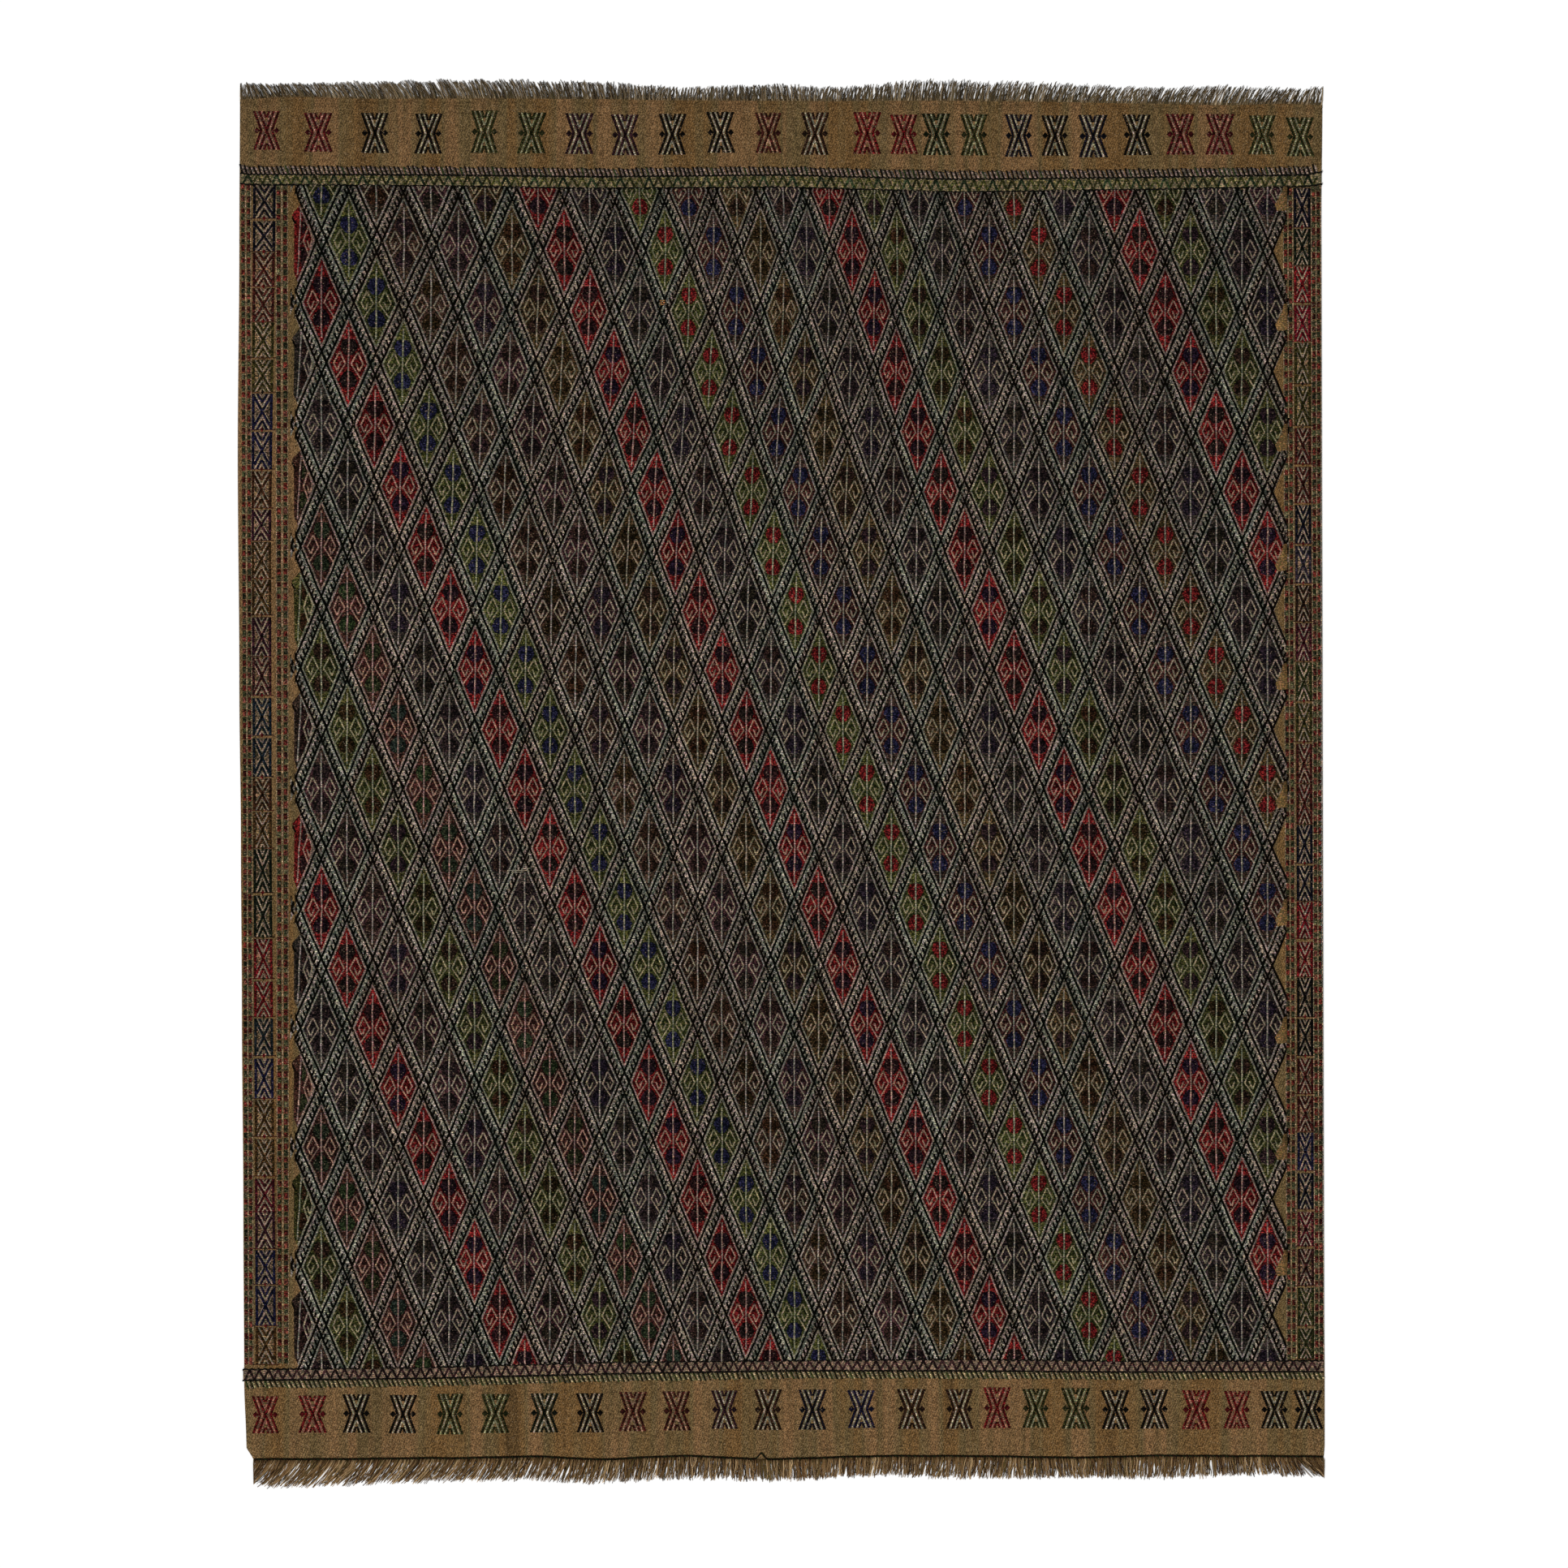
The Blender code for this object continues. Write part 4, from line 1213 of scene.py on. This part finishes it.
def make_bottom_lines(material):
    drawing = Drawing()
    ground = [
        [(x0, line_at(BOTTOM_OUTER_LINE, x0)), (x1, line_at(BOTTOM_OUTER_LINE, x1)),
         (x1, line_at(BOTTOM_INNER_LINE, x1)), (x0, line_at(BOTTOM_INNER_LINE, x0))]
        for x0, x1 in pairs(np.linspace(-845.0, 852.0, 86))
    ]
    drawing.add(BOTTOM_LINES_GROUND, ground, start=1.98, rise=0.15, grain=0.6)
    x, number, half = -842.0, 0, 7.45
    while x + 2 * half < 851.0:
        low, high = line_at(BOTTOM_OUTER_LINE, x) + 1.0, line_at(BOTTOM_INNER_LINE, x + half) - 1.0
        shade = np.array(ZIGZAG_MAROON) * (1.0 + 0.4 * stray(number, 3))
        drawing.add(shade, slanted((x, low), (x + half, high), 4.0, 2), start=2.0, rise=0.4, grain=0.7)
        down = slanted((x + half, high), (x + 2 * half, low), 4.0, 2)
        drawing.add(shade, down, start=2.0, rise=0.45, grain=0.7)
        x, number = x + 2 * half, number + 1
    last = slanted((x, low), (x + half * 0.8, low + 0.8 * (high - low)), 4.0, 2)
    drawing.add(ZIGZAG_MAROON, last, start=2.0, rise=0.4)
    draw_line(drawing, BOTTOM_INNER_LINE, (12, 11, 10), 2.8, 5.0, 0.9)
    draw_line(drawing, BOTTOM_OUTER_LINE, (12, 12, 10), 2.8, 3.9, 0.5)
    x, number = -841.0, 0
    while x < 845.0:
        foot = line_at(BOTTOM_OUTER_LINE, x)
        shade = BOTTOM_TEETH[0] if number % 4 else BOTTOM_TEETH[1]
        lean = 5.2 + 0.8 * float(stray(number, 5))
        tail = 12.6 + 1.2 * float(stray(number, 6))
        tooth = slanted((x, foot - 1.0), (x + lean, foot - tail), 3.2, 2)
        drawing.add(shade, tooth, start=1.75, rise=0.7, grain=0.6)
        light = np.array(BOTTOM_TOOTH_LIGHT) * (1.0 + 0.1 * stray(number, 7))
        between = slanted((x + 3.8, foot - 1.2), (x + 3.6 + lean, foot - tail + 1.0), 3.4, 2)
        drawing.add(light, between, start=1.75, rise=0.5)
        x, number = x + TOOTH_PITCH + 0.3 + 0.5 * float(stray(number, 4)), number + 1
    return drawing.make("end_lines_bottom", material, 4)


# ------------------------------------------------------------------------------------------------------------
# Cloth, cord and fringes
# ------------------------------------------------------------------------------------------------------------
def in_order(shape):
    """Lists a shape's corners and faces by place, because an extrusion lists its walls differently each run."""
    for number, corner in enumerate(sorted(shape.verts, key=lambda corner: tuple(corner.co))):
        corner.index = number
    for number, face in enumerate(sorted(shape.faces, key=lambda face: tuple(face.calc_center_median()))):
        face.index = number
    shape.verts.sort()
    shape.faces.sort()


def make_ground(material):
    """The plain-woven sheet under everything: a grid drawn to the rug's outline and closed underneath."""
    columns, field_rows, band_rows = 96, 96, 8
    length = float(cloth_top_y(0.0) - cloth_bottom_y(0.0))
    inner = np.linspace(EDGE_ROLL / 1.7, 1.0 - EDGE_ROLL / 1.7, columns - 1)
    across = np.concatenate([[0.0], inner, [1.0]])
    marks = np.array((0.0, EDGE_ROLL, BOTTOM_BAND, BOTTOM_BAND + BAND_RAMP, length - TOP_BAND - BAND_RAMP,
                      length - TOP_BAND, length - EDGE_ROLL, length)) / length
    counts = (1, band_rows, 1, field_rows, 1, band_rows, 1)
    along = np.concatenate(
        [np.linspace(a, b, n, endpoint=False) for a, b, n in zip(marks, marks[1:], counts)] + [[1.0]]
    )
    shape = bmesh.new()
    bmesh.ops.create_grid(shape, x_segments=columns, y_segments=len(along) - 1, size=1.0)
    grown = bmesh.ops.extrude_face_region(shape, geom=shape.faces[:])["geom"]
    for item in grown:
        if isinstance(item, bmesh.types.BMVert):
            item.co.z = -1.0
    mesh = bpy.data.meshes.new("ground_cloth")
    bmesh.ops.recalc_face_normals(shape, faces=shape.faces)
    in_order(shape)
    shape.to_mesh(mesh)
    shape.free()
    points = read(mesh.vertices, "co", np.float32, 3).astype(float)
    column = np.rint((points[:, 0] + 1.0) / 2.0 * columns).astype(int)
    row = np.rint((points[:, 1] + 1.0) / 2.0 * (len(along) - 1)).astype(int)
    x, y = cloth_place(across[column], along[row])
    in_field = (along[row] > marks[2] + 1e-6) & (along[row] < marks[5] - 1e-6)
    at_edge = (column == 0) | (column == columns) | (row == 0) | (row == len(along) - 1)
    top = np.where(in_field, FIELD_GROUND_THICKNESS, PLAIN_THICKNESS) + ripple(x, y)
    top = np.where(at_edge, EDGE_THICKNESS, top)
    z = np.where(points[:, 2] < -0.5, 0.0, top)
    mesh.vertices.foreach_set("co", np.stack([x, y, z], axis=1).astype(np.float32).ravel())
    mesh.update()
    loops = read(mesh.loops, "vertex_index", np.int32)
    totals = read(mesh.polygons, "loop_total", np.int32)
    put_map(mesh, "weave", np.stack([x / WARP, y / ROW], axis=1)[loops])
    put_map(mesh, "OFBake", ground_bake(x, y, loops, totals, along, row, marks))
    mesh.materials.append(material)
    mesh.shade_smooth()
    mesh.set_sharp_from_angle(angle=math.radians(40.0))
    return object_of("ground_cloth", mesh)


def ground_bake(x, y, loops, totals, along, row, marks):
    """The end bands take half of the baking map, each cut in two at the middle, the field takes the rest."""
    face_of_loop = np.repeat(np.arange(len(totals)), totals)
    face_x = np.bincount(face_of_loop, x[loops]) / totals
    face_along = np.bincount(face_of_loop, along[row][loops]) / totals
    right_half = (face_x > 0.0)[face_of_loop]
    in_top = (face_along > marks[4])[face_of_loop]
    in_bottom = (face_along < marks[3])[face_of_loop]
    lx, share = x[loops], along[row][loops]
    u_half = (lx + 0.86 - 0.86 * right_half) / 0.90 + 0.02 * right_half
    band = np.where(in_top, (share - marks[4]) / (1.0 - marks[4]), share / marks[3])
    v_band = (band * 0.94 + 0.03 + right_half + 2 * in_top) * 0.125
    v_field = 0.52 + 0.46 * (share - marks[3]) / (marks[4] - marks[3])
    banded = in_top | in_bottom
    u = np.where(banded, u_half, (lx + 0.87) / 1.75)
    v = np.where(banded, v_band, v_field)
    return np.clip(np.stack([u, v], axis=1), 0.0, 1.0)


def make_cord(material):
    """Two strands twisted round each other along the bottom end, with a small loop that has worked loose."""
    left, right = eased(SELVEDGES, -1.062, 1) + CORD_RADIUS, eased(SELVEDGES, -1.062, 2) - CORD_RADIUS
    count = 1150
    x = np.linspace(left, right, count)
    y = cord_y(x) + 0.0003 * np.sin(x / 0.013) + 0.0002 * np.sin(x / 0.031 + 1.0)
    loop = np.exp(-(((x + 0.0312) / 0.0060) ** 2))
    y = y + 0.0095 * loop
    turns = 2.0 * np.pi * np.linspace(0.0, (right - left) / 0.0100, count)
    turns = turns + 1.1 * np.sin(x / 0.037) + 0.7 * np.sin(x / 0.0155 + 2.0)
    curve = bpy.data.curves.new("end_cord", "CURVE")
    curve.dimensions = "3D"
    curve.bevel_depth = 0.00098
    curve.bevel_resolution = 1
    curve.use_fill_caps = True
    for phase in (0.0, np.pi):
        spline = curve.splines.new("POLY")
        spline.points.add(count - 1)
        centre_z = 0.00178 + 0.0006 * loop
        aside, above = PLY_OFFSET * np.cos(turns + phase), PLY_OFFSET * np.sin(turns + phase)
        places = np.stack([x, y + aside, centre_z + above, np.ones(count)], axis=1)
        spline.points.foreach_set("co", places.astype(np.float32).ravel())
        slubs = 1.0 + 0.12 * np.sin(x / 0.0061 + phase) * np.sin(x / 0.023)
        spline.points.foreach_set("radius", slubs.astype(np.float32))
    holder = bpy.data.objects.new("cord_route", curve)
    bpy.context.scene.collection.objects.link(holder)
    bpy.context.view_layer.update()
    mesh = bpy.data.meshes.new_from_object(holder.evaluated_get(bpy.context.evaluated_depsgraph_get()))
    mesh.name = "end_cord"
    bpy.data.objects.remove(holder)
    points = read(mesh.vertices, "co", np.float32, 3).astype(float)
    loops = read(mesh.loops, "vertex_index", np.int32)
    totals = read(mesh.polygons, "loop_total", np.int32)
    second = np.arange(len(points)) >= len(points) // 2
    face_second = second[loops[np.concatenate([[0], np.cumsum(totals)[:-1]])]]
    face_x = points[loops[np.concatenate([[0], np.cumsum(totals)[:-1]])], 0]
    colours = np.where(face_second[:, None], linear(CORD_COLOURS[0]), linear(CORD_COLOURS[1]))
    colours = colours * (1.0 + 0.35 * stray(np.floor(face_x / 0.01), 4))[:, None]
    put_map(mesh, "weave", np.stack([points[:, 2] / 0.002, points[:, 0] / 0.001], axis=1)[loops])
    put_map(mesh, "OFBake", folded(points, loops, 24, 0.01))
    put_colours(mesh, colours)
    mesh.materials.clear()
    mesh.materials.append(material)
    mesh.shade_smooth()
    return object_of("end_cord", mesh)


def folded(points, loops, folds, spread):
    """A long piece's baking map: it is cut into equal lengths that lie one above the other."""
    x, y = points[:, 0], points[:, 1]
    start, part = x.min(), (x.max() - x.min()) / folds * 1.0001
    fold = np.floor((x - start) / part)
    along = (x - start - fold * part) / part
    middle = np.array([y[fold == i].mean() if (fold == i).any() else 0.0 for i in range(folds)])
    across = np.clip((y - middle[fold.astype(int)]) / spread + 0.5, 0.02, 0.98)
    return np.stack([along * 0.98 + 0.01, (across + fold) / folds], axis=1)[loops]


YARN_SIDES = 5


def yarn_template():
    """One yarn, a unit long and of unit radius, cut into rings by planes."""
    shape = bmesh.new()
    bmesh.ops.create_cone(
        shape, cap_ends=True, segments=YARN_SIDES, radius1=1.0, radius2=0.72, depth=1.0
    )
    bmesh.ops.translate(shape, verts=shape.verts, vec=(0.0, 0.0, 0.5))
    for height in (0.2, 0.4, 0.6, 0.8):
        everything = shape.verts[:] + shape.edges[:] + shape.faces[:]
        bmesh.ops.bisect_plane(shape, geom=everything, plane_co=(0, 0, height), plane_no=(0, 0, 1))
    mesh = bpy.data.meshes.new("yarn")
    shape.to_mesh(mesh)
    shape.free()
    arrays = (
        read(mesh.vertices, "co", np.float32, 3).astype(float), read(mesh.loops, "vertex_index", np.int32),
        read(mesh.polygons, "loop_total", np.int32),
    )
    bpy.data.meshes.remove(mesh)
    return arrays


def make_fringe(name, end, outward, root_offset, count, radius, palette, strip, material, extra=()):
    """Spun warp ends lying on the floor past the end of the cloth, over the strip that they come out of.

    extra holds loose tufts as (x, spread, how many, reach, lean, colour).
    """
    left, right = float(eased(SELVEDGES, end[0, 1], 1)), float(eased(SELVEDGES, end[0, 1], 2))
    number = np.arange(count)
    x = left + (right - left) * (number + 0.5 + 0.42 * stray(number, 11)) / count
    x = np.clip(x, left + 0.0012, right - 0.0012)
    reach = (eased(end, x, REACH) - root_offset) * (1.0 + 0.11 * stray(number, 12))
    group = np.floor(number / 7.0 + 0.5 * stray(number, 19))
    reach = reach * (1.0 + 0.08 * stray(group, 13))
    lean = eased(end, x, LEAN) + 5.0 * stray(group, 14) + 9.0 * stray(number, 15)
    lean = lean + (24.0 if outward < 0 else 0.0) * np.clip((x - 0.809) / 0.005, 0.0, 1.0)
    thick = radius * (1.0 + 0.30 * stray(number, 16))
    colours = linear(np.array(palette)[(np.abs(stray(number, 17)) * len(palette) * 0.999).astype(int)])
    colours = colours * (1.08 + 0.42 * stray(number, 18) + 0.2 * stray(group, 20))[:, None]
    root_y = eased(end, x, CLOTH_END) + outward * root_offset
    for spot, spread, several, far, tilt, colour in extra:
        more = np.arange(several)
        x = np.concatenate([x, spot + spread * stray(more, 21)])
        reach = np.concatenate([reach, far * (1.0 + 0.1 * stray(more, 22))])
        lean = np.concatenate([lean, tilt + 7.0 * stray(more, 23)])
        thick = np.concatenate([thick, radius * (0.9 + 0.1 * stray(more, 24))])
        tuft_colours = np.tile(linear(colour), (several, 1)) * (1.0 + 0.2 * stray(more, 25))[:, None]
        colours = np.concatenate([colours, tuft_colours])
        tuft_root = eased(end, spot, CLOTH_END) + outward * root_offset
        root_y = np.concatenate([root_y, np.full(several, tuft_root)])
    points, loops, totals = yarn_template()
    total = len(x)
    every = np.arange(total)
    t = points[:, 2][None, :]
    tangent = np.tan(np.radians(np.clip(lean, -52.0, 52.0)))[:, None]
    curl = (0.0018 * stray(every, 31))[:, None] * np.sin(np.pi * t * (1.9 + 0.8 * stray(every, 33))[:, None])
    cx = x[:, None] + reach[:, None] * tangent * t**1.3 + curl
    cx = np.clip(cx, left + 0.0006, right + 0.0008)
    cy = root_y[:, None] + outward * reach[:, None] * t
    direction = np.arctan(tangent * 1.3 * t**0.3) * outward
    sideways = (np.cos(direction), -np.sin(direction))
    slim = thick[:, None] * (1.0 - 0.25 * t)
    lift = 0.0003 + 0.0004 * (1.0 + stray(every, 32))[:, None] * np.sin(np.pi * t) + 0.0004 * (1.0 - t)
    px = cx + points[:, 0][None, :] * slim * sideways[0]
    py = cy + points[:, 0][None, :] * slim * sideways[1]
    pz = slim * (1.0 + points[:, 1][None, :]) + lift
    co = np.stack([px, py, pz], axis=2).reshape(-1, 3)
    all_loops = (loops[None, :] + (every * len(points))[:, None]).ravel()
    all_totals = np.tile(totals, total)
    face_colours = np.repeat(colours, len(totals), axis=0)
    angle = np.arctan2(points[:, 1], points[:, 0]) / (2.0 * np.pi) + 0.5
    along = np.stack([np.tile(angle, (total, 1)), reach[:, None] * t / 0.001], axis=2).reshape(-1, 2)
    rows = 24
    share = (every % math.ceil(total / rows) + 0.5) / math.ceil(total / rows)
    across = points[:, 0][None, :] * 0.30 / math.ceil(total / rows) + share[:, None]
    up = ((t * 0.9 + 0.05) * np.ones((total, 1)) + (every // math.ceil(total / rows))[:, None]) / (rows + 1)
    bake = np.stack([across, up], axis=2).reshape(-1, 2)

    strip_co, strip_loops, strip_totals, strip_tint = strip
    loops_all = np.concatenate([all_loops, strip_loops + len(co)])
    totals_all = np.concatenate([all_totals, strip_totals])
    co_all = np.concatenate([co, strip_co])
    strip_share = (strip_co[:, 0] - left) / (right - left)
    low, high = strip_co[:, 1].min(), strip_co[:, 1].max()
    strip_up = (rows + 0.1 + 0.8 * (strip_co[:, 1] - low) / (high - low)) / (rows + 1)
    strip_bake = np.stack([strip_share * 0.98 + 0.01, strip_up], axis=1)
    mesh = bpy.data.meshes.new(name)
    mesh.vertices.add(len(co_all))
    mesh.loops.add(len(loops_all))
    mesh.polygons.add(len(totals_all))
    mesh.vertices.foreach_set("co", co_all.astype(np.float32).ravel())
    mesh.loops.foreach_set("vertex_index", loops_all.astype(np.int32))
    first_loops = np.concatenate([[0], np.cumsum(totals_all)[:-1]])
    mesh.polygons.foreach_set("loop_start", first_loops.astype(np.int32))
    mesh.update(calc_edges=True)
    put_map(mesh, "weave", np.concatenate([along, strip_co[:, :2] / (WARP, ROW)])[loops_all])
    put_map(mesh, "OFBake", np.concatenate([bake, strip_bake])[loops_all])
    put_colours(mesh, np.concatenate([face_colours, np.tile(linear(strip_tint), (len(strip_totals), 1))]))
    mesh.materials.append(material)
    mesh.materials.append(bpy.data.materials["plain_weave"])
    slots = np.concatenate([np.zeros(len(all_totals), np.int32), np.ones(len(strip_totals), np.int32)])
    mesh.polygons.foreach_set("material_index", slots)
    smooth = np.concatenate([np.ones(len(all_totals), bool), np.zeros(len(strip_totals), bool)])
    mesh.polygons.foreach_set("use_smooth", smooth)
    return object_of(name, mesh)


def heading_strip(end, inner, outer, thick_inner, thick_outer, tint):
    """The last few rows of weave that hold a fringe: a closed grid between two offsets from the end."""
    left, right = float(eased(SELVEDGES, end[0, 1], 1)), float(eased(SELVEDGES, end[0, 1], 2))
    shape = bmesh.new()
    bmesh.ops.create_grid(shape, x_segments=120, y_segments=3, size=1.0)
    grown = bmesh.ops.extrude_face_region(shape, geom=shape.faces[:])["geom"]
    for item in grown:
        if isinstance(item, bmesh.types.BMVert):
            item.co.z = -1.0
    bmesh.ops.recalc_face_normals(shape, faces=shape.faces)
    in_order(shape)
    mesh = bpy.data.meshes.new("heading")
    shape.to_mesh(mesh)
    shape.free()
    points = read(mesh.vertices, "co", np.float32, 3).astype(float)
    loops, totals = read(mesh.loops, "vertex_index", np.int32), read(mesh.polygons, "loop_total", np.int32)
    bpy.data.meshes.remove(mesh)
    share = (points[:, 1] + 1.0) / 2.0
    x = left + (right - left) * (points[:, 0] + 1.0) / 2.0
    low, high = min(inner, outer), max(inner, outer)
    y = eased(end, x, CLOTH_END) + low + (high - low) * share
    outer_share = share if outer > inner else 1.0 - share
    top = thick_inner + (thick_outer - thick_inner) * outer_share
    z = np.where(points[:, 2] < -0.5, 0.0, top)
    return np.stack([x, y, z], axis=1), loops, totals, tint


# ------------------------------------------------------------------------------------------------------------
# The whole rug, the floor, the lights and the camera
# ------------------------------------------------------------------------------------------------------------
FLOOR_REACH = 60.0


def make_stage():
    floor_mesh = bpy.data.meshes.new("floor")
    shape = bmesh.new()
    bmesh.ops.create_grid(shape, x_segments=1, y_segments=1, size=FLOOR_REACH)
    shape.to_mesh(floor_mesh)
    shape.free()
    floor = object_of("floor", floor_mesh)
    finish = Finish("floor_paint", 0.95)
    finish.shader.inputs["Base Color"].default_value = (0.93, 0.93, 0.93, 1.0)
    finish.shader.inputs["Specular IOR Level"].default_value = 0.0
    floor_mesh.materials.append(finish.material)
    sun_data = bpy.data.lights.new("sun", "SUN")
    sun_data.energy = 2.7
    sun_data.angle = 0.2
    sun = bpy.data.objects.new("sun", sun_data)
    sun.rotation_euler = (math.radians(38.0), math.radians(-34.0), 0.0)
    bpy.context.scene.collection.objects.link(sun)
    world = bpy.data.worlds.new("studio")
    world.use_nodes = True
    world.node_tree.nodes["Background"].inputs[0].default_value = (1.0, 1.0, 1.0, 1.0)
    world.node_tree.nodes["Background"].inputs[1].default_value = 0.55
    bpy.context.scene.world = world
    bpy.context.scene.view_settings.view_transform = "Standard"
    camera_data = bpy.data.cameras.new("camera")
    camera_data.sensor_width = 36.0
    camera_data.lens = 85.0
    camera_data.clip_end = 60.0
    camera = bpy.data.objects.new("camera", camera_data)
    camera.location = (0.0045, 0.0006, 2.4633 * camera_data.lens / camera_data.sensor_width)
    bpy.context.scene.collection.objects.link(camera)
    bpy.context.scene.camera = camera


def main():
    brocade = brocade_finish("brocade_wool")
    plain = plain_finish("plain_weave")
    warp_yarn = yarn_finish("warp_yarn", 2.4)
    cord_yarn = yarn_finish("twined_yarn", 1.6)

    ground = make_ground(plain)
    worked = make_field(brocade)
    worked.append(make_border("border_left", LEFT_BOXES, LEFT_BOX_SIDES, LEFT_DASHES, LEFT_RIBS, brocade))
    worked.append(
        make_border("border_right", RIGHT_BOXES, RIGHT_BOX_SIDES, RIGHT_DASHES, RIGHT_RIBS, brocade)
    )
    worked.append(make_motifs("end_motifs_top", TOP_MOTIFS, TOP_MOTIF_SHIFT, TOP_MOTIF_REACH, brocade))
    worked.append(
        make_motifs("end_motifs_bottom", BOTTOM_MOTIFS, BOTTOM_MOTIF_SHIFT, BOTTOM_MOTIF_REACH, brocade)
    )
    worked.append(make_top_lines(brocade))
    worked.append(make_bottom_lines(brocade))
    worked.append(make_mends(brocade))
    cord = make_cord(cord_yarn)
    fringe_top = make_fringe(
        "fringe_top", TOP_END, 1, -0.0030, TOP_YARNS, TOP_YARN_RADIUS, TOP_FRINGE_COLOURS,
        heading_strip(
            TOP_END, -TOP_BACKING_DEPTH - GAP, 0.0, PLAIN_THICKNESS, EDGE_THICKNESS, TOP_HEADING_COLOUR
        ),
        warp_yarn,
    )
    fringe_bottom = make_fringe(
        "fringe_bottom", BOTTOM_END, -1, CORD_RADIUS * 0.3, BOTTOM_YARNS, BOTTOM_YARN_RADIUS,
        BOTTOM_FRINGE_COLOURS,
        # Its dark brown is painted shade between the roots of the fringe.
        heading_strip(
            BOTTOM_END, 0.0010, -CORD_RADIUS - BOTTOM_BACKING_DEPTH, 0.0007, 0.0004, BOTTOM_HEADING_SHADE
        ),
        warp_yarn, extra=((-0.0205, 0.004, 9, 0.034, 3.0, OLIVE_TUFT),),
    )

    for piece in [ground, *worked]:
        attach(piece, "root")
    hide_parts("kilim_cloth")
    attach(cord, "root")
    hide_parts("end_twining")
    for piece, node in ((fringe_top, "warp_fringe_top"), (fringe_bottom, "warp_fringe_bottom")):
        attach(piece, "root")
        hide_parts(node)
    make_stage()


main()
